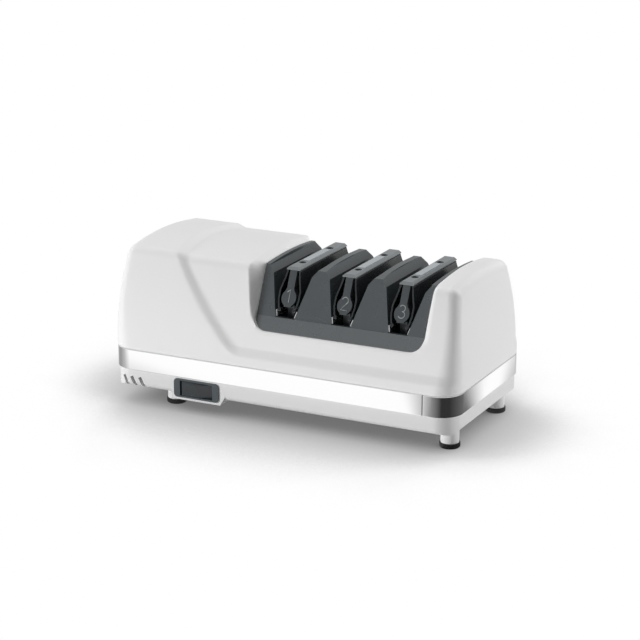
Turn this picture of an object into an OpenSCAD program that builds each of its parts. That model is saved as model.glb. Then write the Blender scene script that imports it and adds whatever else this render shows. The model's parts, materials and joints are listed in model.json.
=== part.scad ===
// Three-stage electric knife sharpener for the worktop.
// A moulded hood and base meet at a bright trim band. The saddle in the hood holds a guide insert
// with three sprung blade guides, and a motor spindle below it turns three pairs of abrasive discs.
// X runs along the body with the motor at -X, the switch side faces -Y, and Z = 0 is the worktop.

/* [Body] */
// Overall length of the body
body_l = 250; // [244:1:262]
// Overall width of the body at the trim band
body_w = 118; // [116:1:126]
// Corner radius of the body in plan, at the trim band
plan_r = 15.5; // [12:0.5:18]
// Wall thickness of the hood, the base and the trim band
wall = 2.8; // [2.4:0.1:3.2]
// Thickness of the floor of the base
floor_t = 2.5; // [2:0.1:3.5]
// Height of the side wall of the base
base_h = 12; // [11:0.5:15]
// Radius of the lower edge of the base
base_edge_r = 4; // [2:0.5:6]
// Height of the bright trim band
band_h = 14; // [10:0.5:18]
// Distance of the band's butt joint from the right end of the body
seam_in = 21.5; // [18:0.5:40]
// Inset of the base behind the trim band
base_inset = 1; // [0.6:0.1:1.5]

/* [Hood] */
// Height of the hood above the trim band, at its crown
hood_h = 70.5; // [69:0.5:76]
// Rise of the crowned top above its front and rear shoulders
crown_rise = 4; // [3:0.5:6]
// Lean of the front and the rear, from the band to the shoulder
side_lean = 14.5; // [12:0.5:16]
// Lean of the two ends, from the band to the shoulder
end_lean = 5.5; // [3:0.5:8]
// Share of the lean that is straight, the rest is curved
lean_straight = 0.4; // [0.2:0.05:0.8]
// Corner radius of the hood in plan, at the shoulder
top_corner_r = 6; // [5.5:0.5:9]
// Radius of the shoulder edges
shoulder_r = 5; // [3:0.5:5.4]
// Depth of the stepped panel around the saddle
step_d = 2.2; // [1.5:0.1:2.6]
// Width of the sloped edge of the stepped panel
step_w = 3.4; // [2.5:0.1:5]
// Height of the step above the trim band along the skirt
step_h = 6.5; // [4:0.5:9]
// Distance of the panel's slope from the left end, at the shoulder
step_top_in = 44; // [39:1:49]
// Distance of the panel's slope from the saddle, at the skirt
step_foot_in = 11; // [8:1:14]
// Corner radius between the diagonal and the skirt
step_r = 22; // [16:1:26]
// Reach of the flared corners of the saddle along X
flare_x = 7; // [4:0.5:9]

/* [Blade guides] */
// Length of the hood's block to the right of the saddle
right_block = 24.4; // [22:0.2:28]
// Spacing of the three stages
stage_pitch = 40; // [38:0.5:41]
// Distance from an outer stage to the end of the insert
insert_end = 20.3; // [19:0.1:21]
// Height of the sill of the saddle above the worktop
sill_z = 63.5; // [62:0.5:66]
// Corner radius of the saddle at the sill
sill_r = 8; // [5:0.5:10]
// Rise of the sloped apron from the sill to the slot floor
apron_rise = 8.5; // [7:0.5:10]
// Depth of the slot floor's front edge behind the trim band
apron_in = 12.4; // [11.5:0.1:14]
// Height of the guides above the slot floor
guide_h = 31; // [29:0.5:33]
// Backward lean of the guide fronts
guide_lean = 24.5; // [22:0.5:26]
// Lean of the rear of the guides from upright, in degrees
guide_back = 19.5; // [18:0.5:23]
// Lean of the rear of the dividers from upright, in degrees
divider_back = 29; // [25:0.5:31]
// Rise of the crowned tops of the insert
guide_crown = 1.5; // [1:0.1:2.5]
// Sharpening angle of each slot wall
slot_angle = 15; // [13:0.5:17]
// Half width of a stage at the slot floor
slot_half = 6.7; // [6.3:0.1:7.2]
// Thickness of a spring arm
arm_t = 1; // [0.8:0.1:1.2]
// Half width of the numbered post at its bulge
post_bulge = 5.2; // [4.8:0.1:5.6]
// Half width of the numbered post at its neck
post_neck = 2.5; // [2.3:0.1:2.8]
// Distance of the guide screws from the middle of a guide
guide_screw_y = 20; // [17:0.5:24]
// Thickness of the steel strips at the slot floor
strip_t = 0.8; // [0.6:0.1:1]

/* [Spindle] */
// Radius of the abrasive discs
disc_r = 27; // [26:0.5:28]
// Reach of the discs above the slot floor
disc_reach = 2; // [1:0.5:3]
// Thickness of an abrasive disc
disc_t = 1.7; // [1.4:0.1:2]
// Diameter of the spindle
shaft_d = 8; // [7:0.5:9]
// Outer diameter of the ball bearings
bearing_d = 22; // [20:0.5:24]
// Width of the ball bearings
bearing_w = 7; // [6:0.5:8]
// Side of the square stator
stator_w = 56; // [52:0.5:57]
// Diameter of the stator bore
stator_bore = 33; // [30:0.5:34]
// Diameter of the cooling fan
fan_d = 54; // [48:1:55]
// Number of fan blades
fan_blades = 9; // [6:1:12]

/* [Switch] */
// Width of the switch bezel
bezel_w = 33.5; // [30:0.5:36]
// Height of the switch bezel
bezel_h = 12.8; // [12:0.1:13.4]
// Distance of the switch from the left end
switch_in = 65.7; // [65:0.1:68]
// Height of the switch's centre above the worktop
switch_z = 17.6; // [17.2:0.1:18]
// Length of the rocker
rocker_l = 23.2; // [21:0.2:24]
// Height of the rocker
rocker_h = 9.8; // [9.2:0.1:10]
// Angle through which the rocker tips
rocker_tip = 16; // [12:1:18]

/* [Feet and fasteners] */
// Height of the rubber feet below the pillars
foot_h = 3.5; // [3:0.5:5]
// Diameter of the rubber feet
foot_d = 13.6; // [13:0.1:14]
// Height of the pillars below the base
pillar_h = 9.5; // [9:0.5:12]
// Diameter of the pillars
pillar_d = 12; // [11:0.5:12.5]
// Distance of the right pillars from the right end
foot_right_in = 11; // [10.5:0.5:12]
// Distance of the left pillars from the left end
foot_left_in = 39.5; // [38:0.5:40]
// Distance of the pillars from the front and rear
foot_side_in = 20.5; // [19:0.5:21.5]
// Diameter of the long screws
screw_d = 3.6; // [3:0.1:4]
// Diameter of the screw heads
head_d = 7; // [6:0.5:8]

/* [Fits] */
// Gap between parts that lie beside each other
panel_gap = 0.2; // [0.1:0.05:0.3]
// Radial gap of parts fixed on a shaft or in a bore
seat_gap = 0.03; // [0.02:0.01:0.05]
// Radial running gap of the spindle in its bearings
run_gap = 0.05; // [0.03:0.01:0.08]
// Clearance of parts that move past each other
move_gap = 0.4; // [0.3:0.05:0.6]

/* [Hidden] */
$fn = 64;

// Levels above the worktop
base_z = foot_h + pillar_h;
floor_z = base_z + floor_t;
band_z = base_z + base_h;
hood_z = band_z + band_h;
crown_z = hood_z + hood_h;
shoulder_z = crown_z - crown_rise;
slot_z = sill_z + apron_rise;
guide_z = slot_z + guide_h;
axis_z = slot_z + disc_reach - disc_r;
half_l = body_l / 2;
half_w = body_w / 2;
over = 1;
far = 40;

// Guide insert
stage_mid = half_l - right_block - insert_end - stage_pitch;
insert_x0 = stage_mid - stage_pitch - insert_end;
insert_x1 = stage_mid + stage_pitch + insert_end;
apron_y = half_w - apron_in;
rail_z = sill_z - 5.5;
rail_top = sill_z + 2.5;
rail_w = 15;
rail_y1 = apron_y - 3 * panel_gap;
rail_y0 = rail_y1 - rail_w;
chamfer_z = guide_z - 5;
cap_t = 2;
cap_z = guide_z - cap_t;
recess_z = cap_z + 0.35 * cap_t;
bulge_z = slot_z + 12;
stem_half = post_neck;
step_top_x = -half_l + step_top_in;
step_foot_x = insert_x0 - step_foot_in;
arm_bead = 0.7 * arm_t;
arm_x = post_neck + 1.8;
arm_z = cap_z - move_gap + 0.1 - arm_bead;
disc_gap = 1.5;
stage_room = 8.6;

// Spindle and motor, from the left end of the body to the right
rear_frame_x = -half_l + wall + end_lean + 7;
front_frame_x = insert_x0 - bearing_w - 2;
end_block_x = insert_x1 + 0.4;
fan_x = rear_frame_x + bearing_w + 1.5;
fan_w = 7;
coil_w = 9;
stack_x0 = fan_x + fan_w + 2 + coil_w;
comm_l = 14;
stack_x1 = front_frame_x - comm_l - 3 - coil_w;
comm_x = front_frame_x - comm_l - 1;
comm_d = 18;
rotor_d = stator_bore - 1;
shaft_r = shaft_d / 2;
shaft_x0 = rear_frame_x - 2;
shaft_x1 = end_block_x + bearing_w + 2;
bolt_off = stator_w / 2 - 5.5;
bolt_d = 4;
hub_r = shaft_r + 4;
hub_l = 6.7;
frame_w = stator_w + 6;
brush_w = 6;
brush_l = 13;

// Screw columns
foot_y = half_w - foot_side_in;
foot_x = [half_l - foot_right_in, -half_l + foot_left_in];
column_x = [insert_x0 + 10, insert_x1 - 10];
column_y = (rail_y0 + rail_y1) / 2;
column_d = 10;
boss_d = 9;
head_h = 2.6;
plug_d = 8.6;
plug_h = 3.5;
plug_bore = plug_d + 2 * seat_gap;
head_z = foot_h + plug_h + 0.5;

// Switch
switch_x = -half_l + switch_in;
switch_y = -half_w + base_inset;
bezel_t = base_inset - 0.1;
rocker_pivot_y = switch_y + 3.6;
boss_z = switch_z - bezel_h / 2 - 1.7;
body_room_w = rocker_l + 3.2;
body_room_h = rocker_h + 2;
boss_y1 = switch_y + 24;
trunnion_d = 2;
sleeve_y = switch_y + 2.4 * wall;
tab_w = 3;

// Mouths of the clean-out and of the cord bushing
clean_end = 9;
clean_l = 2 * (stage_pitch + clean_end);
clean_w = 50;
ledge = 3;
clean_r = 7;
cover_t = floor_t - 1;
cord_x = -half_l + 24;
cord_z = base_z + base_h - 5.2;
cord_hole = 5.6;
cord_d = 7.6;

// Width of the hood at a height, halved, and its corner radius there
function hood_t(z) = (z - hood_z) / (shoulder_z - hood_z);
function lean_share(t) = lean_straight * t + (1 - lean_straight) * t * t;
function hood_y(z) = half_w - side_lean * lean_share(hood_t(z));
function hood_x(z) = half_l - end_lean * lean_share(hood_t(z));
function hood_r(z) = plan_r + (top_corner_r - plan_r) * hood_t(z);
function crown_at(y) = crown_z - crown_rise * pow(y / hood_y(shoulder_z), 2);
// Half width between the slot walls of a stage at a height
function slot_at(z) = slot_half + (z - slot_z) * tan(slot_angle);
// Distance of the guide fronts from the middle plane at a height
function front_at(z, lean = guide_lean) = apron_y - (z - slot_z) * tan(lean);
function stage_x(k) = stage_mid + (k - 2) * stage_pitch;

// Extrusions of a profile along the body and across it
module along_x(x0, x1) {
    translate([x0, 0, 0]) rotate([90, 0, 90]) linear_extrude(x1 - x0) children();
}
module along_y(y0, y1) {
    translate([0, y1, 0]) rotate([90, 0, 0]) linear_extrude(y1 - y0) children();
}
module x_rod(x0, x1, d) {
    translate([x0, 0, 0]) rotate([0, 90, 0]) cylinder(d = d, h = x1 - x0);
}
module on_axis() {
    translate([0, 0, axis_z]) children();
}
module both_sides() {
    children();
    mirror([0, 1, 0]) children();
}
// A rectangle with four rounded corners
module round_rect(w, h, r) {
    square([w - 2 * r, h], center = true);
    square([w, h - 2 * r], center = true);
    for (sx = [-1, 1], sy = [-1, 1])
        translate([sx * (w / 2 - r), sy * (h / 2 - r)]) circle(r);
}
module plan(inset) {
    round_rect(body_l - 2 * inset, body_w - 2 * inset, plan_r - inset);
}
module plan_ring(outer, inner, z0, z1) {
    translate([0, 0, z0]) linear_extrude(z1 - z0) difference() {
        plan(outer);
        plan(inner);
    }
}

// The drafted, crowned form of the hood, moved in by the given amounts
module hood_form(side_in, end_in, top_in, z_low) {
    loft_steps = 6;
    crown_steps = 4;
    z_high = shoulder_z - shoulder_r - top_in;
    ball_x = hood_x(shoulder_z) - end_in - shoulder_r;
    ball_y = hood_y(shoulder_z) - side_in - shoulder_r;
    hull() {
        for (i = [0:loft_steps], sx = [-1, 1], sy = [-1, 1])
            let (z = z_low + (z_high - z_low) * i / loft_steps, r = hood_r(z) - side_in)
                translate([sx * (hood_x(z) - end_in - r), sy * (hood_y(z) - side_in - r), z])
                    cylinder(r = r, h = 0.02, $fn = 32);
        for (j = [-crown_steps:crown_steps], sx = [-1, 1])
            let (y = ball_y * j / crown_steps)
                translate([sx * ball_x, y, crown_at(y) - top_in - shoulder_r])
                    sphere(shoulder_r, $fn = 24);
    }
}

// Outline of the stepped panel on the front, moved into the panel by off
function step_z() = hood_z + step_h;
function step_dir() = atan2(shoulder_z - step_z(), step_top_x - step_foot_x);
function step_mid() = [step_foot_x + step_r / tan(step_dir() / 2), step_z() + step_r];
function step_outline(off) =
    let (c = step_mid(), r = step_r - off, a1 = step_dir() + 90, z_top = shoulder_z + 8,
         p = c + r * [cos(a1), sin(a1)])
    concat(
        [for (i = [0:5]) [half_l + far, z_top + (c.y - r - z_top) * i / 5]],
        [for (i = [0:5]) let (a = 270 + (a1 - 270) * i / 5) c + r * [cos(a), sin(a)]],
        [for (i = [1:5]) let (z = p.y + (z_top - p.y) * i / 5) [p.x + (z - p.y) / tan(step_dir()), z]]
    );
module step_cutter() {
    grow = step_w / step_d;
    hull()
        for (depth = [-1.2, step_d + 6], p = step_outline(depth * grow))
            translate([p.x, depth - hood_y(p.y), p.y]) cube(0.02);
}
// The same step across the crown and around the shoulder
module ramp_cutter(x0, level, half_y) {
    grow = step_w / step_d;
    up = 8;
    down = 12;
    along_y(-half_y, half_y)
        polygon([[x0 - up * grow, level + up], [half_l + far, level + up],
                 [half_l + far, level - down], [x0 + down * grow, level - down]]);
}
module crown_cutter() {
    ramp_cutter(step_top_x - crown_rise * step_w / step_d, crown_z, half_w);
}
module shoulder_cutter() {
    translate([0, shoulder_r - hood_y(shoulder_z), shoulder_z - shoulder_r]) rotate([45, 0, 0])
        ramp_cutter(step_top_x + 2, shoulder_r, 6);
}
module step_layer() {
    difference() {
        union() {
            both_sides() step_cutter();
            both_sides() shoulder_cutter();
            crown_cutter();
        }
        hood_form(step_d, -over, step_d, hood_z - over);
    }
}

// Outline of the saddle and of the insert that fills it, moved in by inset
module saddle_outline(inset) {
    x0 = insert_x0 + inset;
    x1 = insert_x1 - inset;
    z0 = sill_z + inset;
    r = sill_r - inset;
    translate([x0, z0 + r]) square([x1 - x0, far * 2]);
    translate([x0 + r, z0]) square([x1 - x0 - 2 * r, far]);
    for (x = [x0 + r, x1 - r])
        translate([x, z0 + r]) circle(r);
}
// One flared corner, where the hood slopes in to the end of the insert
module flare() {
    top = [insert_x0 - flare_x, step_d - hood_y(shoulder_z - 4), shoulder_z - 4];
    low = [insert_x0 + 1, step_d - hood_y(slot_z - 2), slot_z - 2];
    deep = [insert_x0, -front_at(guide_z), guide_z];
    n = cross(low - top, deep - top);
    intersection() {
        translate(top) rotate([0, acos(n.z / norm(n)), atan2(n.y, n.x)])
            translate([-2 * far, -2 * far, 0]) cube([4 * far, 4 * far, far]);
        translate([insert_x0 - far / 2, -half_w - over, sill_z])
            cube([far / 2 + over, half_w, 2 * far]);
    }
}
module flares() {
    edge_z = guide_z + guide_crown;
    both_sides() flare();
    along_y(-half_w, half_w)
        polygon([[insert_x0 - flare_x, crown_z - step_d], [insert_x0 - flare_x, crown_z + over],
                 [insert_x0 + over, crown_z + over], [insert_x0 + over, edge_z]]);
}
module hood_cavity() {
    bulkhead = flare_x + 4;
    intersection() {
        hood_form(wall + step_d, wall, wall + step_d, hood_z - over);
        union() {
            translate([-half_l, -half_w, 0]) cube([half_l + insert_x0 - bulkhead, body_w, crown_z]);
            translate([insert_x1 + bulkhead, -half_w, 0]) cube([half_l, body_w, crown_z]);
            translate([-half_l, -half_w, 0]) cube([body_l, body_w, rail_z - over]);
            translate([-half_l, -frame_w / 2 - 2, 0]) cube([body_l, frame_w + 4, axis_z + frame_w / 2 + 3]);
        }
    }
}
// Columns inside the hood that take the long screws from the pillars
module hood_bosses() {
    intersection() {
        for (x = foot_x, sy = [-1, 1])
            translate([x, sy * foot_y, floor_z + panel_gap / 2]) cylinder(d = boss_d, h = crown_z - floor_z);
        hood_form(wall / 2 + step_d, wall / 2, wall / 2 + step_d, floor_z);
    }
}
module foot_holes(d, z0, z1) {
    for (x = foot_x, sy = [-1, 1])
        translate([x, sy * foot_y, z0]) cylinder(d = d, h = z1 - z0);
}
module upper_housing() {
    color("white") difference() {
        union() {
            difference() {
                hood_form(0, 0, 0, hood_z);
                step_layer();
                hood_cavity();
            }
            hood_bosses();
        }
        along_y(-half_w - over, half_w + over) saddle_outline(0);
        flares();
        translate([2 * stage_mid, 0, 0]) mirror([1, 0, 0]) flares();
        translate([insert_x0, -rail_y1 - panel_gap, 0])
            cube([insert_x1 - insert_x0, 2 * (rail_y1 + panel_gap), rail_top + panel_gap]);
        foot_holes(screw_d + 2 * seat_gap, 0, hood_z + 12);
    }
}

module trim_band() {
    color("gainsboro") difference() {
        plan_ring(0, wall, band_z, hood_z);
        translate([half_l - seam_in, -half_w - over, band_z - over])
            cube([panel_gap, wall + 2 * over, band_h + 2 * over]);
    }
}

// Solid body of the base, with its lower edge rounded
module base_block() {
    w = body_w - 2 * base_inset;
    l = body_l - 2 * base_inset;
    h = 2 * base_h;
    intersection() {
        translate([0, 0, base_z]) linear_extrude(base_h) plan(base_inset);
        along_x(-half_l, half_l) translate([0, base_z + base_h]) round_rect(w, h, base_edge_r);
        along_y(-half_w, half_w) translate([0, base_z + base_h]) round_rect(l, h, base_edge_r);
    }
}
// Bulge of the base around the switch, hanging a little below its lower edge
module switch_boss() {
    w = bezel_w + 4;
    slope = 2.4;
    along_y(switch_y, boss_y1) polygon([
        [switch_x - w / 2, band_z - over], [switch_x - w / 2, boss_z + slope],
        [switch_x - w / 2 + slope / 2, boss_z], [switch_x + w / 2 - slope / 2, boss_z],
        [switch_x + w / 2 + slope, base_z + slope], [switch_x + w / 2 + slope, band_z - over]
    ]);
}
module switch_room() {
    translate([switch_x, 0, switch_z]) {
        along_y(switch_y - over, switch_y + wall + over)
            square([body_room_w, body_room_h], center = true);
        along_y(switch_y + wall, boss_y1 - wall)
            translate([0, (base_h + 2 * over) / 2 - body_room_h / 2])
                square([body_room_w, base_h + 2 * over], center = true);
    }
}
// Slanted air slots at the left front corner
module vents() {
    slant = -26;
    pitch = 6.2;
    for (i = [0:2])
        translate([-half_l + 11.5 + i * pitch, -half_w - over, base_z + base_h / 2 - 2.5])
            rotate([0, slant, 0]) translate([-1.2, 0, -4]) cube([2.4, wall + 5, 8]);
}
module base_columns() {
    for (x = column_x, sy = [-1, 1])
        translate([x, sy * column_y, base_z + over]) cylinder(d = column_d, h = rail_z - base_z - over);
}
module column_holes() {
    for (x = column_x, sy = [-1, 1])
        translate([x, sy * column_y, base_z - over]) {
            cylinder(d = screw_d + 2 * seat_gap, h = far * 2);
            cylinder(d = head_d + 2 * panel_gap, h = head_h + 2 * over);
        }
}
module pillars() {
    for (x = foot_x, sy = [-1, 1])
        translate([x, sy * foot_y, foot_h]) cylinder(d = pillar_d, h = pillar_h + over);
}
// Raised pads that carry the stator
module stator_pads() {
    pad_w = 8;
    for (x = [stack_x0 + 2, stack_x1 - pad_w - 2])
        translate([x, -stator_w / 4, floor_z - over])
            cube([pad_w, stator_w / 2, axis_z - stator_w / 2 - floor_z + over]);
}
module clean_out_mouth() {
    translate([stage_mid, 0, base_z - over]) linear_extrude(floor_t + 2 * over)
        round_rect(clean_l - 2 * ledge, clean_w - 2 * ledge, clean_r - ledge);
    translate([stage_mid, 0, base_z - over]) linear_extrude(cover_t + over)
        round_rect(clean_l, clean_w, clean_r);
}
module base_tray() {
    rim_in = wall + panel_gap;
    rim_t = 2;
    color("whitesmoke") difference() {
        union() {
            difference() {
                union() {
                    base_block();
                    switch_boss();
                }
                translate([0, 0, floor_z]) linear_extrude(base_h) plan(base_inset + wall);
            }
            intersection() {
                switch_boss();
                translate([-half_l, -half_w, 0]) cube([body_l, body_w, floor_z]);
            }
            plan_ring(rim_in, rim_in + rim_t, floor_z - over, hood_z - panel_gap);
            pillars();
            base_columns();
            stator_pads();
        }
        switch_room();
        vents();
        column_holes();
        clean_out_mouth();
        foot_holes(plug_bore, foot_h - over, head_z + head_h + panel_gap);
        foot_holes(screw_d + 2 * seat_gap, foot_h, floor_z + over);
        translate([cord_x, half_w + over, cord_z]) rotate([90, 0, 0])
            cylinder(d = cord_d + 2 * seat_gap, h = far / 2);
    }
}

module clean_out_cover() {
    rib_h = 0.8;
    rib_t = 2.6;
    rib_l = clean_l - 2 * (ledge + panel_gap);
    rib_w = clean_w - 2 * (ledge + panel_gap);
    color("whitesmoke") translate([stage_mid, 0, base_z]) {
        linear_extrude(cover_t)
            round_rect(clean_l - 2 * panel_gap, clean_w - 2 * panel_gap, clean_r - panel_gap);
        translate([0, 0, cover_t]) linear_extrude(rib_h) difference() {
            round_rect(rib_l, rib_w, clean_r - ledge - panel_gap);
            round_rect(rib_l - 2 * rib_t, rib_w - 2 * rib_t, clean_r - ledge - panel_gap - rib_t);
        }
    }
}

module rubber_feet() {
    edge = 0.8;
    color("#202020")
        for (x = foot_x, sy = [-1, 1])
            translate([x, sy * foot_y, 0]) rotate_extrude() polygon([
                [0, 0], [foot_d / 2 - edge, 0], [foot_d / 2, edge], [foot_d / 2, foot_h - 0.3],
                [foot_d / 2 - 0.3, foot_h], [plug_d / 2, foot_h], [plug_d / 2, foot_h + plug_h],
                [0, foot_h + plug_h]
            ]);
}

module long_screw(z_head, z_tip) {
    translate([0, 0, z_head]) cylinder(d = head_d, h = head_h);
    translate([0, 0, z_head + head_h]) cylinder(d = screw_d, h = z_tip - z_head - head_h);
}
module housing_screws() {
    color("silver") for (x = foot_x, sy = [-1, 1])
        translate([x, sy * foot_y, 0]) long_screw(head_z + panel_gap / 2, hood_z + 10);
}
module insert_screws() {
    color("silver") for (x = column_x, sy = [-1, 1])
        translate([x, sy * column_y, 0]) long_screw(base_z + over - head_h / 2 + 1, rail_top - 2);
}

module cord_bushing() {
    flange = 1;
    y0 = half_w - base_inset;
    color("#303030") translate([cord_x, y0, cord_z]) rotate([90, 0, 0]) difference() {
        union() {
            translate([0, 0, -flange]) cylinder(d = cord_d + 2, h = flange);
            cylinder(d = cord_d, h = wall + 4);
        }
        translate([0, 0, -flange - over]) cylinder(d = cord_hole, h = far);
    }
}

// Side profile that the guides share: leaning fronts and a crowned top
module guide_profile(inset, z_low, z_high, crown, back) {
    run = front_at(guide_z);
    r = (run * run + guide_crown * guide_crown) / (2 * guide_crown);
    intersection() {
        polygon([[-front_at(z_low) + inset, z_low], [front_at(z_low, back) - inset, z_low],
                 [front_at(z_high, back) - inset, z_high], [inset - front_at(z_high), z_high]]);
        if (crown)
            translate([0, guide_z + guide_crown - inset - r]) circle(r, $fn = 200);
    }
}
// Wedge between two stages, given as half widths about its middle
module wedge_outline(half_low, half_high, half_top) {
    polygon([[-half_low, rail_z], [half_low, rail_z], [half_high, chamfer_z], [half_top, guide_z],
             [half_top, guide_z + 9], [-half_top, guide_z + 9], [-half_top, guide_z],
             [-half_high, chamfer_z]]);
}
module guide_walls() {
    top_half = 2.2;
    chamfer = 3.4;
    for (k = [1, 2])
        intersection() {
            along_y(-half_w, half_w) translate([(stage_x(k) + stage_x(k + 1)) / 2, 0])
                wedge_outline(stage_pitch / 2 - slot_at(rail_z), stage_pitch / 2 - slot_at(chamfer_z),
                              top_half);
            along_x(insert_x0, insert_x1) guide_profile(0.8, rail_z, guide_z + 9, true, divider_back);
        }
    for (side = [-1, 1])
        translate([stage_mid, 0, 0]) scale([side, 1, 1]) intersection() {
            along_y(-half_w, half_w) polygon([
                [stage_pitch + slot_at(rail_z), rail_z],
                [stage_pitch + insert_end + over, rail_z],
                [stage_pitch + insert_end + over, guide_z + 9],
                [stage_pitch + slot_at(chamfer_z) + chamfer, guide_z + 9],
                [stage_pitch + slot_at(chamfer_z) + chamfer, guide_z - 0.6],
                [stage_pitch + slot_at(chamfer_z), chamfer_z]
            ]);
            along_x(0, far * 2) guide_profile(0, rail_z, guide_z + 9, true, guide_lean);
        }
}
// Sloped apron above the sill
module apron() {
    lip = 2.6;
    outer = hood_y(sill_z) - step_d - 0.4;
    along_x(insert_x0 - over, insert_x1 + over) polygon([
        [-outer, sill_z], [-apron_y, slot_z], [lip - apron_y, slot_z], [lip - apron_y, sill_z]
    ]);
}
// Rail behind the apron, seated on the columns of the base
module rail() {
    along_x(insert_x0 + 2 * panel_gap, insert_x1 - 2 * panel_gap)
        translate([-rail_y1, rail_z]) square([rail_y1 - rail_y0, rail_top - rail_z]);
}
module guide_insert() {
    color("#46494c") difference() {
        union() {
            intersection() {
                along_y(-half_w, half_w) saddle_outline(panel_gap);
                union() {
                    guide_walls();
                    both_sides() apron();
                }
            }
            both_sides() rail();
        }
        for (k = [1:3])
            on_axis() x_rod(stage_x(k) - stage_room, stage_x(k) + stage_room, 2 * (disc_r + disc_gap));
        translate([insert_x0 - over, -rail_y0, rail_z - over])
            cube([insert_x1 - insert_x0 + 2 * over, 2 * rail_y0, rail_top - rail_z + over]);
        for (x = column_x, sy = [-1, 1])
            translate([x, sy * column_y, rail_z - over]) cylinder(d = screw_d + 2 * seat_gap, h = far / 4);
    }
}

// Thin steel strips on the slot walls, at both mouths of every slot
module slot_strips() {
    z0 = slot_z + 0.4;
    z1 = slot_z + 4.2;
    color("silver") for (k = [1:3], side = [-1, 1])
        translate([stage_x(k), 0, 0]) scale([side, 1, 1]) both_sides() intersection() {
            along_y(-half_w, -rail_y0) polygon([
                [slot_at(z0) - seat_gap, z0], [slot_at(z1) - seat_gap, z1],
                [slot_at(z1) - strip_t, z1], [slot_at(z0) - strip_t, z0]
            ]);
            along_x(0, far) guide_profile(1.4, z0 - over, z1 + over, false, guide_lean);
        }
}

module post_outline() {
    neck_z = bulge_z + 1.15 * post_bulge;
    translate([0, bulge_z]) circle(post_bulge);
    polygon([[-post_neck, cap_z], [-post_neck, neck_z], [-post_bulge, bulge_z], [0, bulge_z - post_bulge],
             [post_bulge, bulge_z], [post_neck, neck_z], [post_neck, cap_z]]);
    translate([-stem_half, rail_top]) square([2 * stem_half, bulge_z - rail_top]);
}
// Numbered post in the middle of a stage, standing on the front and rear rails
module guide_post(k) {
    stem_y = rail_y0 + 0.4 * rail_w;
    color("#5a5d60") translate([stage_x(k), 0, 0]) difference() {
        intersection() {
            along_y(-half_w, half_w) post_outline();
            along_x(-far, far) guide_profile(0.8, rail_top, guide_z, false, guide_back);
            union() {
                translate([-far, -stem_y, 0]) cube([2 * far, 2 * stem_y, guide_z]);
                translate([-far, -half_w, bulge_z - 1.05 * post_bulge]) cube([2 * far, body_w, guide_h]);
            }
        }
        translate([-far, -rail_y0, 0]) cube([2 * far, 2 * rail_y0, bulge_z - post_bulge - 0.5]);
        for (sy = [-1, 1])
            translate([0, sy * guide_screw_y, cap_z - 8]) cylinder(d = 2.2 + 2 * seat_gap, h = 9);
    }
}
// Cap of a guide, with chamfered edges, two screw recesses and a bare raised plate
module guide_cap(k) {
    half = 4.9;
    top_half = 3.4;
    plate_h = 0.4;
    color("#5a5d60") translate([stage_x(k), 0, 0]) difference() {
        intersection() {
            union() {
                along_y(-half_w, half_w) polygon([
                    [-half, cap_z], [half, cap_z], [half, recess_z], [top_half, guide_z],
                    [-top_half, guide_z], [-half, recess_z]
                ]);
                along_y(4.4 - guide_screw_y, guide_screw_y - 4.4) translate([-2.5, cap_z])
                    square([5, guide_z - cap_z + plate_h]);
            }
            along_x(-far, far) guide_profile(0, cap_z - over, guide_z + over, false, guide_back);
        }
        for (sy = [-1, 1])
            translate([0, sy * guide_screw_y, cap_z - over]) {
                cylinder(d = 2.2 + 2 * seat_gap, h = far);
                translate([0, 0, over + recess_z - cap_z]) cylinder(d = 5.2, h = far);
            }
    }
}
module guide_screws() {
    color("#3a3c3e") for (k = [1:3], sy = [-1, 1])
        translate([stage_x(k), sy * guide_screw_y, cap_z]) {
            translate([0, 0, -7]) cylinder(d = 2.2, h = 7 + recess_z - cap_z);
            translate([0, 0, recess_z - cap_z]) cylinder(d = 4.6, h = 0.35 * cap_t);
        }
}

// Sprung arm of a guide: it hangs from a round bead, bulges past the post and turns in to a rolled foot
module arm_outline() {
    outer = [[arm_x + arm_t / 2, arm_z], [5.5, slot_z + 24.2], [7.7, slot_z + 16.5], [7.7, slot_z + 11],
             [6.7, slot_z + 6.4], [5.9, slot_z + 4.6]];
    n = len(outer) - 1;
    polygon(concat(outer, [for (i = [0:n]) outer[n - i] - [arm_t, 0]]));
}
module spring_arm(k, side) {
    bead = 1.05;
    color("#6b6f72") translate([stage_x(k), 0, 0]) scale([side, 1, 1]) intersection() {
        union() {
            along_y(-half_w, half_w) arm_outline();
            along_y(-half_w, half_w) translate([5.3, slot_z + 4.6]) circle(bead);
            along_y(-half_w, half_w) translate([arm_x, arm_z]) circle(arm_bead);
        }
        along_x(0, far) guide_profile(1, slot_z, guide_z, false, guide_back);
    }
}

module switch_bezel() {
    lip = 0.6;
    inner_w = body_room_w - panel_gap;
    inner_h = body_room_h - panel_gap;
    color("#3c4043") translate([switch_x, 0, switch_z]) difference() {
        union() {
            along_y(switch_y - bezel_t, switch_y) round_rect(bezel_w, bezel_h, 2.6);
            along_y(switch_y, sleeve_y) square([inner_w, inner_h], center = true);
        }
        along_y(switch_y - far, switch_y + far)
            square([rocker_l + 3 * move_gap, rocker_h + 1.5 * move_gap], center = true);
        translate([0, rocker_pivot_y, -bezel_h / 2 + lip])
            cylinder(d = trunnion_d + 2 * run_gap, h = bezel_h - 2 * lip);
    }
}
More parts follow.
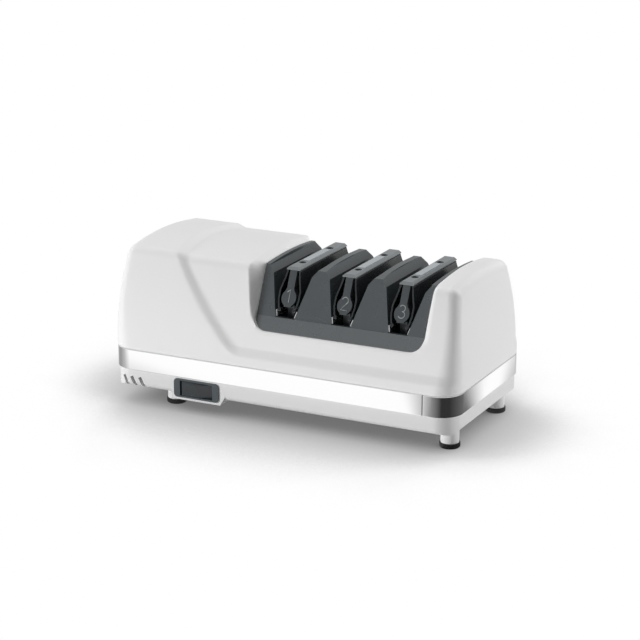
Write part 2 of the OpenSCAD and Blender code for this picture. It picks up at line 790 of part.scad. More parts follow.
// Rocker with two faces that meet at a ridge, tipping about an upright axis
module switch_rocker() {
    r = rocker_l / 2;
    face_y = switch_y - bezel_t - rocker_pivot_y + 0.1;
    back_y = 1.6;
    color("#4c5053") translate([switch_x, rocker_pivot_y, switch_z]) {
        translate([0, 0, -rocker_h / 2]) linear_extrude(rocker_h) intersection() {
            circle(r, $fn = 96);
            polygon([[-r, face_y], [0, face_y], [r, face_y + r * tan(rocker_tip)], [r, back_y], [0, back_y],
                     [-r, back_y - r * tan(rocker_tip)]]);
        }
        translate([0, 0, -rocker_h / 2 - 0.7]) cylinder(d = trunnion_d, h = rocker_h + 1.4);
    }
}
module switch_body() {
    color("#2c2f31") translate([switch_x, 0, switch_z]) {
        along_y(sleeve_y, boss_y1 - wall - panel_gap)
            square([body_room_w - panel_gap, body_room_h - panel_gap], center = true);
        for (sx = [-1, 1])
            translate([sx * 2 * tab_w - tab_w / 2, boss_y1 - wall - 2 * tab_w, body_room_h / 2 - panel_gap])
                cube([tab_w, tab_w / 4, 2 * tab_w]);
    }
}

module bolt_holes(x0, x1, d) {
    for (sy = [-1, 1], sz = [-1, 1])
        translate([0, sy * bolt_off, axis_z + sz * bolt_off]) x_rod(x0, x1, d);
}
module motor_stator() {
    color("slategray") difference() {
        along_x(stack_x0, stack_x1) translate([0, axis_z]) difference() {
            round_rect(stator_w, stator_w, stator_w / 8);
            circle(d = stator_bore);
        }
        bolt_holes(stack_x0 - over, stack_x1 + over, bolt_d + 2 * seat_gap);
    }
}
module field_coils() {
    r0 = stator_bore / 2 + 1;
    r1 = stator_w / 2 - 4;
    color("peru") for (x = [stack_x0 - coil_w, stack_x1])
        on_axis() translate([x, 0, 0]) rotate([0, 90, 0]) rotate_extrude()
            translate([(r0 + r1) / 2, coil_w / 2]) round_rect(r1 - r0, coil_w, 2);
}
module bored_rod(x0, x1, d) {
    on_axis() difference() {
        x_rod(x0, x1, d);
        x_rod(x0 - over, x1 + over, shaft_d + 2 * seat_gap);
    }
}
module motor_rotor() {
    slots = 12;
    color("gray") difference() {
        bored_rod(stack_x0, stack_x1, rotor_d);
        for (i = [0:slots - 1])
            on_axis() rotate([i * 360 / slots, 0, 0]) translate([stack_x0 - over, -rotor_d / 32, 0.4 * rotor_d])
                cube([stack_x1 - stack_x0 + 2 * over, rotor_d / 16, rotor_d / 8]);
    }
}
module commutator() {
    color("darkgoldenrod") bored_rod(comm_x, front_frame_x - 1, comm_d);
}
module brush_holders() {
    y0 = comm_d / 2 + 1.2;
    color("#403020") for (side = [-1, 1])
        on_axis() scale([1, side, 1]) difference() {
            translate([comm_x + 1.5, y0, -brush_w / 2 - 1.5])
                cube([front_frame_x - comm_x - 1.5, brush_l, brush_w + 3]);
            translate([comm_x + 3, y0 - over, -brush_w / 2 - panel_gap / 2])
                cube([brush_w + panel_gap, brush_l + 2 * over, brush_w + panel_gap]);
        }
}
module carbon_brushes() {
    color("#2a2a2a") for (side = [-1, 1])
        on_axis() scale([1, side, 1])
            translate([comm_x + 3 + panel_gap / 2, comm_d / 2 + 0.3, -brush_w / 2])
                cube([brush_w, brush_l - 1, brush_w]);
}
// Upright plate that carries a bearing, standing on the floor of the base
module bearing_plate(x0, w, top) {
    along_x(x0, x0 + bearing_w) difference() {
        translate([-w / 2, floor_z]) square([w, top - floor_z]);
        translate([0, axis_z]) circle(d = bearing_d + 2 * seat_gap);
    }
}
module rear_motor_frame() {
    windows = 4;
    color("lightgray") difference() {
        bearing_plate(rear_frame_x, frame_w, axis_z + frame_w / 2);
        bolt_holes(rear_frame_x - over, rear_frame_x + far, bolt_d + 2 * seat_gap);
        for (i = [0:windows - 1])
            on_axis() rotate([i * 90, 0, 0]) translate([rear_frame_x - over, -8, bearing_d / 2 + 4])
                cube([bearing_w + 2 * over, 16, 8]);
    }
}
module front_motor_frame() {
    color("lightgray") difference() {
        bearing_plate(front_frame_x, frame_w, axis_z + frame_w / 2);
        bolt_holes(front_frame_x - over, front_frame_x + far, bolt_d + 2 * seat_gap);
    }
}
module motor_bolts() {
    head = 3;
    color("silver") for (sy = [-1, 1], sz = [-1, 1])
        translate([0, sy * bolt_off, axis_z + sz * bolt_off]) {
            x_rod(rear_frame_x, front_frame_x + bearing_w, bolt_d);
            x_rod(rear_frame_x - head, rear_frame_x, bolt_d + 3);
        }
}
module end_bearing_block() {
    color("lightgray") bearing_plate(end_block_x, bearing_d + 14, axis_z + bearing_d / 2 + 4);
}
module ball_bearings() {
    color("silver") for (x = [rear_frame_x, front_frame_x, end_block_x])
        on_axis() difference() {
            x_rod(x, x + bearing_w, bearing_d);
            x_rod(x - over, x + bearing_w + over, shaft_d + 2 * run_gap);
        }
}
module drive_shaft() {
    color("silver") on_axis() x_rod(shaft_x0, shaft_x1, shaft_d);
}
// Sleeves that keep the discs and the bearings apart along the shaft
module shaft_spacers() {
    d = shaft_d + 6;
    ends = concat([front_frame_x + bearing_w + move_gap],
                  [for (k = [1:3], s = [-1, 1]) stage_x(k) + s * (hub_l + 0.4)],
                  [end_block_x - move_gap]);
    color("gainsboro") for (i = [0:3])
        bored_rod(ends[2 * i] + panel_gap / 2, ends[2 * i + 1] - panel_gap / 2, d);
}
module cooling_fan() {
    hub_d = shaft_d + 12;
    blade_t = 1.6;
    color("#3a4a5a") difference() {
        on_axis() union() {
            x_rod(fan_x, fan_x + fan_w, hub_d);
            x_rod(fan_x + fan_w - 1.6, fan_x + fan_w, fan_d - 8);
            for (i = [0:fan_blades - 1])
                rotate([i * 360 / fan_blades, 0, 0])
                    translate([fan_x, -blade_t / 2, hub_d / 2 - over])
                        cube([fan_w, blade_t, (fan_d - hub_d) / 2 + over]);
        }
        on_axis() x_rod(fan_x - over, fan_x + fan_w + over, shaft_d + 2 * seat_gap);
    }
}
// A pair of dished discs whose rims face the two slots of a stage
module disc_pair(k) {
    web_x = 0.6 + disc_t;
    rim_in = disc_r - 10;
    rim_x = web_x + (disc_r - rim_in) * tan(slot_angle);
    on_axis() for (side = [-1, 1])
        translate([stage_x(k), 0, 0]) rotate([0, side * 90, 0]) rotate_extrude() polygon([
            [shaft_r + seat_gap, 0.3], [hub_r, 0.3], [hub_r, web_x - disc_t], [rim_in, web_x - disc_t],
            [disc_r, rim_x - disc_t], [disc_r, rim_x], [rim_in, web_x], [hub_r, web_x],
            [hub_r, hub_l], [shaft_r + seat_gap, hub_l]
        ]);
}
module coarse_discs() {
    color("dimgray") disc_pair(1);
}
module fine_discs() {
    color("gray") disc_pair(2);
}
module polishing_discs() {
    color("tan") disc_pair(3);
}

upper_housing();
trim_band();
base_tray();
clean_out_cover();
rubber_feet();
housing_screws();
insert_screws();
cord_bushing();
guide_insert();
slot_strips();
guide_post(1);  // guide_post_1
guide_post(2);  // guide_post_2
guide_post(3);  // guide_post_3
guide_cap(1);  // guide_cap_1
guide_cap(2);  // guide_cap_2
guide_cap(3);  // guide_cap_3
guide_screws();
spring_arm(1, -1);  // spring_arm_1_left
spring_arm(1, 1);  // spring_arm_1_right
spring_arm(2, -1);  // spring_arm_2_left
spring_arm(2, 1);  // spring_arm_2_right
spring_arm(3, -1);  // spring_arm_3_left
spring_arm(3, 1);  // spring_arm_3_right
switch_bezel();
switch_rocker();
switch_body();
motor_stator();
field_coils();
motor_rotor();
commutator();
brush_holders();
carbon_brushes();
rear_motor_frame();
front_motor_frame();
motor_bolts();
end_bearing_block();
ball_bearings();
drive_shaft();
shaft_spacers();
cooling_fan();
coarse_discs();
fine_discs();
polishing_discs();
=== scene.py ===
"""Visual model of a three-stage electric knife sharpener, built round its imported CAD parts."""

import json
import math

import bmesh
import bpy
from bmesh.types import BMEdge, BMVert
from bpy.props import FloatProperty, FloatVectorProperty, PointerProperty
from mathutils import Matrix, Vector
from mathutils.bvhtree import BVHTree


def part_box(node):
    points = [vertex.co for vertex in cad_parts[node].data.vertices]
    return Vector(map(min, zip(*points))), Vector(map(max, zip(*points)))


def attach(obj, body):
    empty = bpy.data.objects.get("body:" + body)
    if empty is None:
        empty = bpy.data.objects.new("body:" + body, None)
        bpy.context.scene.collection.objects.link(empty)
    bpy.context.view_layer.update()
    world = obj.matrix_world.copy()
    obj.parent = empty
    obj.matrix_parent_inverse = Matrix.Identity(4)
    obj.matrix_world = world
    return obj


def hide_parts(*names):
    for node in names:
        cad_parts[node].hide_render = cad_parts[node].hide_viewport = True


bl_info = {
    "name": "Knife Sharpener Builder",
    "version": (1, 0, 0),
    "blender": (4, 5, 0),
    "location": "View3D > Sidebar > Sharpener",
    "description": "Builds the visual pieces of a three-stage knife sharpener round its packed CAD parts",
    "category": "Add Mesh",
}

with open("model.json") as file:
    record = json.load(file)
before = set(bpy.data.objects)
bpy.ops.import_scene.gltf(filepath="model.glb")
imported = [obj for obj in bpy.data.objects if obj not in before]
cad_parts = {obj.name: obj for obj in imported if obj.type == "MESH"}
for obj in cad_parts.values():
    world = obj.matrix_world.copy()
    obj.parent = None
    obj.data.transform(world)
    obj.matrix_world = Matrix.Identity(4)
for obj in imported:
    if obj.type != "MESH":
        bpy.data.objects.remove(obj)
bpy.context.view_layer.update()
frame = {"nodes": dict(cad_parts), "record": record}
MM = 0.001


# Settings

def length(name, description, default):
    """A length in metres, shown with its unit."""
    return FloatProperty(name=name, description=description, default=default, unit="LENGTH",
                         subtype="DISTANCE")


def colour(name, description, default):
    """A linear colour."""
    return FloatVectorProperty(name=name, description=description, default=default, size=3, min=0, max=1,
                               subtype="COLOR")


def power(name, description, default):
    """A lamp's power or a light's strength, which is never below zero."""
    return FloatProperty(name=name, description=description, default=default, min=0)


class SharpenerHood(bpy.types.PropertyGroup):
    """Sizes of the white hood."""

    half_length: length("Half length", "Half of the hood's length at its foot", 0.125)
    half_width: length("Half width", "Half of the hood's width at its foot", 0.059)
    foot: length("Foot height", "Height of the hood's lower edge", 0.039)
    shoulder: length("Shoulder height", "Height at which the walls have leaned in fully", 0.1055)
    crown: length("Crown rise", "Rise of the top from its shoulders to its middle", 0.004)
    side_lean: length("Side lean", "How far front and rear lean in", 0.0145)
    end_lean: length("End lean", "How far the ends lean in", 0.0055)
    foot_radius: length("Foot corner", "Corner radius of the plan at the foot", 0.0155)
    top_radius: length("Top corner", "Corner radius of the plan at the shoulder", 0.0075)
    shoulder_radius: length("Shoulder radius", "Rounding between walls and top", 0.007)
    panel_depth: length("Panel depth", "How far the panel lies behind the motor block", 0.0022)
    panel_ramp: length("Panel ramp", "Width of the slope down to the panel", 0.0056)
    panel_top: length("Panel top", "Place of the slope at the shoulder, along the length", -0.0806)
    panel_foot: length("Panel foot", "Place of the slope at the skirt, along the length", -0.033)
    panel_skirt: length("Skirt height", "Height of the slope above the skirt", 0.0455)
    panel_bend: length("Panel bend", "Radius between the diagonal and the skirt", 0.0135)
    panel_bow: length("Panel bow", "How far the diagonal bows towards the motor block", 0.0025)
    saddle_left: length("Saddle left", "Left edge of the saddle", -0.020)
    saddle_right: length("Saddle right", "Right edge of the saddle", 0.1006)
    sill: length("Sill height", "Height of the saddle's lower edge", 0.0635)
    sill_radius: length("Sill corner", "Radius of the saddle's lower corners", 0.010)
    flare: length("Flare", "Width of the chamfer beside the saddle at the top", 0.007)
    flare_foot: length("Flare foot", "Height at which the chamfer begins", 0.068)
    lip: length("Lip", "Depth of the edge turned in round the saddle", 0.005)
    wall: length("Wall", "Thickness of the hood's wall", 0.0022)


class SharpenerTrim(bpy.types.PropertyGroup):
    """Sizes of the band, the guides and the switch."""

    band_seam: length("Band joint", "Place of the butt joint along the front", 0.1035)
    band_edge: length("Band edge", "Rounding of the band's edges", 0.0004)
    band_wall: length("Band wall", "Thickness of the band", 0.0026)
    stage_pitch: length("Stage pitch", "Distance from one stage to the next", 0.040)
    stage_first: length("First stage", "Place of the first stage along the length", 0.0003)
    number_height: length("Number height", "Height of the stage numbers", 0.0084)
    number_stroke: length("Number stroke", "Width of the strokes of the stage numbers", 0.00055)
    number_level: length("Number level", "Height of the middle of the stage numbers", 0.0852)
    screw_offset: length("Screw offset", "Distance of the cap screws from the middle", 0.020)
    screw_radius: length("Screw radius", "Radius of the cap screws' heads", 0.0021)
    rocker_brow: length("Rocker brow", "Drop of the slope over the rocker's ridge", 0.0026)


class SharpenerColours(bpy.types.PropertyGroup):
    """Colours of the main materials."""

    housing: colour("Housing", "White plastic of the hood", (0.78, 0.78, 0.78))
    base: colour("Base", "Pale plastic of the base", (0.70, 0.70, 0.70))
    band: colour("Band", "Bright strip", (0.985, 0.985, 0.985))
    insert: colour("Insert", "Slate plastic of the guides", (0.052, 0.062, 0.067))
    post: colour("Post", "Posts behind the numbers", (0.057, 0.064, 0.068))
    cap: colour("Cap", "Caps of the guides", (0.195, 0.210, 0.217))
    switch: colour("Switch", "Switch frame and key", (0.065, 0.077, 0.085))
    number: colour("Number", "Stage numbers", (0.36, 0.38, 0.39))


class SharpenerStage(bpy.types.PropertyGroup):
    """Camera and light."""

    azimuth: FloatProperty(name="Azimuth", description="Camera's turn round the object", default=26.38)
    elevation: FloatProperty(name="Elevation", description="Camera's height above the horizon", default=16.80)
    distance: length("Distance", "Camera's distance from its target", 1.46231)
    target: FloatVectorProperty(name="Target", description="Point the camera looks at", size=3, unit="LENGTH",
                                subtype="XYZ", default=(0.00283, 0.0, 0.05859))
    lens: FloatProperty(name="Lens", description="Focal length in millimetres", default=123.75)
    ambient: power("Ambient", "Strength of the white surroundings", 0.10)
    horizon: power("Horizon", "Grey of the low surroundings in polished surfaces", 0.45)
    key: power("Key lamp", "Power of the lamp on the left", 81.0)
    fill: power("Fill lamp", "Power of the lamp on the right", 33.5)
    top: power("Top lamp", "Power of the lamp above", 36.0)


# Materials

SLOT_OF = {node: obj.data.materials[0].name for node, obj in frame["nodes"].items()}
BODY_OF = {node: body for body, nodes in frame["record"]["behaviour"]["bodies"].items() for node in nodes}


def new_group(name, inputs, outputs):
    """An empty shader node group with named sockets, and its two end nodes."""
    tree = bpy.data.node_groups.new(name, "ShaderNodeTree")
    for label, kind, value in inputs:
        socket = tree.interface.new_socket(label, in_out="INPUT", socket_type=kind)
        socket.default_value = value
    for label, kind in outputs:
        tree.interface.new_socket(label, in_out="OUTPUT", socket_type=kind)
    return tree, tree.nodes.new("NodeGroupInput"), tree.nodes.new("NodeGroupOutput")


def add_node(tree, kind, **values):
    """A shader node with values set on its inputs, which are named with _ for a space."""
    node = tree.nodes.new("ShaderNode" + kind)
    for label, value in values.items():
        node.inputs[label.replace("_", " ")].default_value = value
    return node


def add_math(tree, kind, operation):
    """A Math or VectorMath node set to an operation."""
    node = add_node(tree, kind)
    node.operation = operation
    return node


def wire(tree, *pairs):
    """Links each output to its input."""
    for output, entry in pairs:
        tree.links.new(output, entry)


def make_skin_group():
    """Fine moulded or cast grain, a slow change of tone, and smudges."""
    tree, enter, leave = new_group(
        "SurfaceSkin",
        [("Grain Scale", "NodeSocketFloat", 1500.0), ("Stretch", "NodeSocketVector", (1.0, 1.0, 1.0))],
        [("Height", "NodeSocketFloat"), ("Tone", "NodeSocketFloat"), ("Smudge", "NodeSocketFloat")])
    place = add_node(tree, "TexCoord").outputs["Object"]
    stretch = add_math(tree, "VectorMath", "MULTIPLY")
    fine = add_node(tree, "TexNoise", Detail=3.0)
    slow = add_node(tree, "TexNoise", Scale=24.0, Detail=2.0)
    marks = add_node(tree, "TexNoise", Scale=55.0, Detail=6.0, Distortion=0.6)
    smudge = add_node(tree, "MapRange", From_Min=0.45, From_Max=0.72)
    wire(tree, (place, stretch.inputs[0]), (enter.outputs["Stretch"], stretch.inputs[1]),
         (stretch.outputs[0], fine.inputs["Vector"]), (enter.outputs["Grain Scale"], fine.inputs["Scale"]),
         (place, slow.inputs["Vector"]), (place, marks.inputs["Vector"]),
         (marks.outputs["Fac"], smudge.inputs["Value"]), (fine.outputs["Fac"], leave.inputs["Height"]),
         (slow.outputs["Fac"], leave.inputs["Tone"]), (smudge.outputs["Result"], leave.inputs["Smudge"]))


def make_edge_highlight_group():
    """A mask along the edges, broken up by noise, where the colour is lightened as a painted highlight."""
    tree, enter, leave = new_group(
        "EdgeWear",
        [("Radius", "NodeSocketFloat", 0.0006), ("Amount", "NodeSocketFloat", 1.0)],
        [("Mask", "NodeSocketFloat")])
    rounded = add_node(tree, "Bevel")
    rounded.samples = 4
    plain = add_node(tree, "NewGeometry")
    dot = add_math(tree, "VectorMath", "DOT_PRODUCT")
    bend = add_node(tree, "MapRange", From_Min=1.0, From_Max=0.80)
    noise = add_node(tree, "TexNoise", Scale=160.0, Detail=4.0)
    broken = add_math(tree, "Math", "MULTIPLY")
    scaled = add_math(tree, "Math", "MULTIPLY")
    scaled.use_clamp = True
    wire(tree, (enter.outputs["Radius"], rounded.inputs["Radius"]),
         (rounded.outputs["Normal"], dot.inputs[0]), (plain.outputs["Normal"], dot.inputs[1]),
         (dot.outputs["Value"], bend.inputs["Value"]),
         (add_node(tree, "TexCoord").outputs["Object"], noise.inputs["Vector"]),
         (bend.outputs["Result"], broken.inputs[0]), (noise.outputs["Fac"], broken.inputs[1]),
         (broken.outputs[0], scaled.inputs[0]), (enter.outputs["Amount"], scaled.inputs[1]),
         (scaled.outputs[0], leave.inputs["Mask"]))


def shade(c, factor):
    """A colour made lighter or darker."""
    return tuple(min(1.0, max(0.0, v * factor)) for v in c)


def add_mix(tree, first, second):
    """A colour mix between two colours. The first may be linked later."""
    mix = tree.nodes.new("ShaderNodeMix")
    mix.data_type = "RGBA"
    mix.inputs["A"].default_value = (*first, 1.0)
    mix.inputs["B"].default_value = (*second, 1.0)
    return mix


def add_group(tree, name, **values):
    """A shared node group with its own values."""
    group = tree.nodes.new("ShaderNodeGroup")
    group.node_tree = bpy.data.node_groups[name]
    for label, value in values.items():
        group.inputs[label.replace("_", " ")].default_value = value
    return group


def make_material(name, base, rough, metal=0.0, grain=1500.0, stretch=(1, 1, 1), depth=0.00002, bump=0.15,
                  tone=0.05, smudge=0.05, edge=0.0, highlight_gain=1.9, shine=0.5):
    """A procedural finish: grain in the normal, slow tone in the colour, smudges in the gloss, edges
    lightened as a painted highlight.
    """
    mat = bpy.data.materials.new("finish_" + name)
    mat.use_nodes = True
    mat.diffuse_color = (*base, 1.0)
    tree = mat.node_tree
    shader = tree.nodes["Principled BSDF"]
    shader.inputs["Metallic"].default_value = metal
    shader.inputs["Specular IOR Level"].default_value = shine
    skin = add_group(tree, "SurfaceSkin", Grain_Scale=grain, Stretch=stretch)
    blend = add_mix(tree, shade(base, 1.0 - tone), shade(base, 1.0 + tone))
    gloss = add_node(tree, "MapRange", To_Min=rough, To_Max=min(1.0, rough + smudge))
    relief = add_node(tree, "Bump", Strength=bump, Distance=depth)
    wire(tree, (skin.outputs["Tone"], blend.inputs["Factor"]),
         (skin.outputs["Smudge"], gloss.inputs["Value"]), (skin.outputs["Height"], relief.inputs["Height"]),
         (gloss.outputs["Result"], shader.inputs["Roughness"]),
         (relief.outputs["Normal"], shader.inputs["Normal"]))
    tint = blend
    # The edges are lightened as a painted highlight, by the edge amount and the gain.
    if edge > 0:
        edge_glint = add_group(tree, "EdgeWear", Amount=edge)
        tint = add_mix(tree, base, shade(base, highlight_gain))
        wire(tree, (edge_glint.outputs["Mask"], tint.inputs["Factor"]), (blend.outputs["Result"], tint.inputs["A"]))
    wire(tree, (tint.outputs["Result"], shader.inputs["Base Color"]))


def finish(name):
    """The procedural material of a finish, kept apart from the frame's plain one of the same slot."""
    return bpy.data.materials["finish_" + name]


class SHARPENER_OT_finishes(bpy.types.Operator):
    """Make the procedural materials and put them on the CAD nodes."""

    bl_idname = "sharpener.finishes"
    bl_label = "Materials"

    def execute(self, context):
        c = context.scene.sharpener_colours
        make_skin_group()
        make_edge_highlight_group()
        rubber = {"grain": 1600, "bump": 0.25, "tone": 0.15, "smudge": 0.15}
        # edge sets how strongly a finish's edges are lightened as a painted highlight.
        slate = {"bump": 0.30, "tone": 0.06, "smudge": 0.10, "edge": 0.45}
        spring = {"grain": 1200, "bump": 0.20, "tone": 0.06, "smudge": 0.10}
        make_material("housing_white", c.housing, 0.34, grain=900, bump=0.05, tone=0.010)
        make_material("band_bright", c.band, 0.07, metal=1.0, grain=420, stretch=(0.05, 0.05, 6.0), bump=0.02,
                      tone=0.01, smudge=0.04)
        make_material("base_grey", c.base, 0.40, grain=900, bump=0.08, tone=0.012, smudge=0.06)
        make_material("foot_rubber", (0.012, 0.012, 0.012), 0.55, **rubber)
        make_material("dark_rubber", (0.020, 0.020, 0.020), 0.60, **rubber)
        make_material("screw_steel", (0.56, 0.56, 0.58), 0.30, metal=1.0, grain=700, stretch=(1, 1, 0.1),
                      tone=0.08)
        make_material("insert_slate", c.insert, 0.24, bump=0.30, tone=0.07, smudge=0.08, edge=0.45, shine=1.0)
        make_material("strip_steel", (0.86, 0.86, 0.87), 0.30, metal=1.0, grain=300, stretch=(1, 0.05, 1),
                      bump=0.05)
        make_material("post_slate", c.post, 0.40, **slate)
        make_material("cap_grey", c.cap, 0.38, bump=0.30, tone=0.06, smudge=0.12, edge=0.55)
        make_material("plate_grey", shade(c.cap, 1.9), 0.48, grain=2400, bump=0.35, smudge=0.10)
        make_material("number_paint", c.number, 0.45, grain=2000, bump=0.10, smudge=0.08)
        make_material("black_screw", (0.018, 0.018, 0.019), 0.38, metal=0.6, grain=900, tone=0.12, edge=0.3)
        # Painted shade and light on the spring arms: a darker slate on their shaded sides, a much lighter one
        # on their lit fronts, and a strong painted highlight along their edges.
        make_material("spring_grey", shade(c.insert, 0.27), 0.22, edge=1.6, highlight_gain=6.5, **spring)
        make_material("spring_edge", shade(c.insert, 4.6), 0.34, **spring)
        make_material("switch_frame", c.switch, 0.42, bump=0.25, tone=0.06, smudge=0.10, edge=0.35)
        make_material("switch_key", shade(c.switch, 0.42), 0.22, grain=1200, tone=0.06, smudge=0.12,
                      edge=0.35)
        make_material("lamination_steel", (0.30, 0.31, 0.33), 0.42, metal=1.0, grain=900,
                      stretch=(1.8, 0.02, 0.02), depth=0.00005, bump=0.5, tone=0.10)
        make_material("coil_copper", (0.45, 0.17, 0.06), 0.32, metal=0.8, grain=700, stretch=(0.05, 1.5, 1.5),
                      depth=0.0001, bump=0.6, tone=0.15)
        make_material("commutator_brass", (0.72, 0.42, 0.22), 0.28, metal=1.0, grain=600,
                      stretch=(0.05, 1, 1), tone=0.12)
        make_material("carbon", (0.022, 0.022, 0.023), 0.60, grain=1400, bump=0.4, tone=0.2)
        make_material("frame_aluminium", (0.66, 0.67, 0.68), 0.40, metal=1.0, grain=800, bump=0.3, tone=0.08)
        make_material("shaft_steel", (0.64, 0.64, 0.65), 0.24, metal=1.0, grain=500, stretch=(4, 0.1, 0.1),
                      tone=0.06)
        make_material("fan_plastic", (0.05, 0.06, 0.08), 0.45, grain=1300, bump=0.2, tone=0.08)
        make_material("abrasive_coarse", (0.40, 0.40, 0.41), 0.55, metal=0.7, grain=2600, depth=0.0001,
                      bump=0.9, tone=0.15)
        make_material("abrasive_fine", (0.48, 0.48, 0.49), 0.48, metal=0.7, grain=4200, depth=0.00006,
                      bump=0.8, tone=0.12)
        make_material("abrasive_polish", (0.52, 0.42, 0.30), 0.70, grain=3000, depth=0.00006, bump=0.6,
                      tone=0.12)
        for node, obj in frame["nodes"].items():
            obj.data.materials.clear()
            obj.data.materials.append(finish(SLOT_OF[node]))
        return {"FINISHED"}


# Mesh helpers

def add_piece(name, bm, material, body, replaced=()):
    """Turns a bmesh into a smooth piece that rides on a body and stands for CAD nodes."""
    bmesh.ops.recalc_face_normals(bm, faces=bm.faces)
    mesh = bpy.data.meshes.new(name)
    bm.to_mesh(mesh)
    bm.free()
    mesh.shade_smooth()
    mesh.materials.append(finish(material))
    obj = bpy.data.objects.new(name, mesh)
    bpy.context.scene.collection.objects.link(obj)
    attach(obj, body)
    if replaced:
        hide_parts(*replaced)
    return obj


def weigh_normals(obj):
    """Lets the large faces set the shading, so that rounded edges don't bend it."""
    mod = obj.modifiers.new("weighted_normals", "WEIGHTED_NORMAL")
    mod.weight = 80
    mod.keep_sharp = True
    return obj


def only(kind, geometry):
    """The elements of one kind among the geometry that a bmesh operator gives back."""
    return [g for g in geometry if isinstance(g, kind)]


def all_of(bm):
    """Every vertex, edge and face."""
    return bm.verts[:] + bm.edges[:] + bm.faces[:]


SOFT_ANGLE = 28.0
SHARP_ANGLE = 55.0


def cad_copy(node):
    """The CAD node's surface as one joined mesh with flat faces merged."""
    bm = bmesh.new()
    bm.from_mesh(frame["nodes"][node].data)
    bmesh.ops.remove_doubles(bm, verts=bm.verts, dist=2e-6)
    bmesh.ops.dissolve_limit(bm, angle_limit=math.radians(0.6), verts=bm.verts, edges=bm.edges,
                             use_dissolve_boundaries=False)
    return bm


def round_edges(bm, width, segments=2, angle=SOFT_ANGLE):
    """Rounds every edge sharper than the angle, and marks what stays sharp."""
    limit = math.radians(angle)
    sharp = [e for e in bm.edges if len(e.link_faces) == 2 and e.calc_face_angle(0.0) > limit]
    bmesh.ops.bevel(bm, geom=sharp, offset=width, offset_type="OFFSET", segments=segments, profile=0.5,
                    affect="EDGES", clamp_overlap=True, material=-1)
    bmesh.ops.remove_doubles(bm, verts=bm.verts, dist=1e-7)
    for e in bm.edges:
        e.smooth = not (len(e.link_faces) == 2 and e.calc_face_angle(0.0) > math.radians(SHARP_ANGLE))


def soft_copy(name, node, width, segments=2, angle=SOFT_ANGLE):
    """A piece with the CAD node's shape and rounded edges."""
    bm = cad_copy(node)
    round_edges(bm, width, segments, angle)
    return weigh_normals(add_piece(name, bm, SLOT_OF[node], BODY_OF[node], [node]))


# Hood

# All in millimetres, as HoodShape is.
LEAN_EVEN, LEAN_GROWING = 0.4, 0.6  # shares of the walls' lean that come evenly and towards the top
CORNER_FADE = 2.4  # how fast the plan's corner tightens above the foot
LEVEL_LINES = 80.0  # height up to which the walls' lines are level, before they follow the crown
KEPT_LINES = 108.2  # lines further out than this spread up to the corner
CROWN_LEAN = 3.2  # the panel's slope leans on over this last part of the crown
SLOPE_EVEN, SLOPE_EASED = 0.8, 0.2  # shares of the slope that are straight and eased at both ends
INSERT_OUTLINE = [(52.9, 63.5), (46.6, 72.0), (33.2, 101.4), (32.0, 102.9), (16.0, 104.2), (0.0, 104.5)]
INSERT_CREST = 101.4  # where the insert's side turns over to its crown
RAY_LEVEL = 60.0  # height of the axis from which rays meet the insert's outline
CORNER_STEPS = 7
CREASE = 0.8  # distance of the line that holds a crease
FLARE_LEFT = (0.8, 1.0, 22.0)  # crease at the foot, share of the flare at the top, reach of the blend
FLARE_RIGHT = (0.35, 0.4, 4.0)
FLARE_START, FLARE_RUN = 48.0, 15.0  # height at which the crease begins to bend, and over what rise
SILL_FADE = 9.0  # reach of the sill's rounding outside the saddle
FOOT_CHAMFER = 0.4
LIP_SINK = 0.3  # how far the lip lies in where it isn't yet on the insert
SEAT_RUN = 14.0  # rise over which the lip comes to lie on the insert
SEAT_NEAR, SEAT_FAR = 0.72, 0.36  # how much the first and second line beside the saddle follow the lip
FOOT_TURN = (0.98, 0.958, 1.0)  # scale of the edge turned in at the foot


def smooth_step(t):
    """0 to 1 with level ends."""
    t = min(1.0, max(0.0, t))
    return t * t * (3.0 - 2.0 * t)


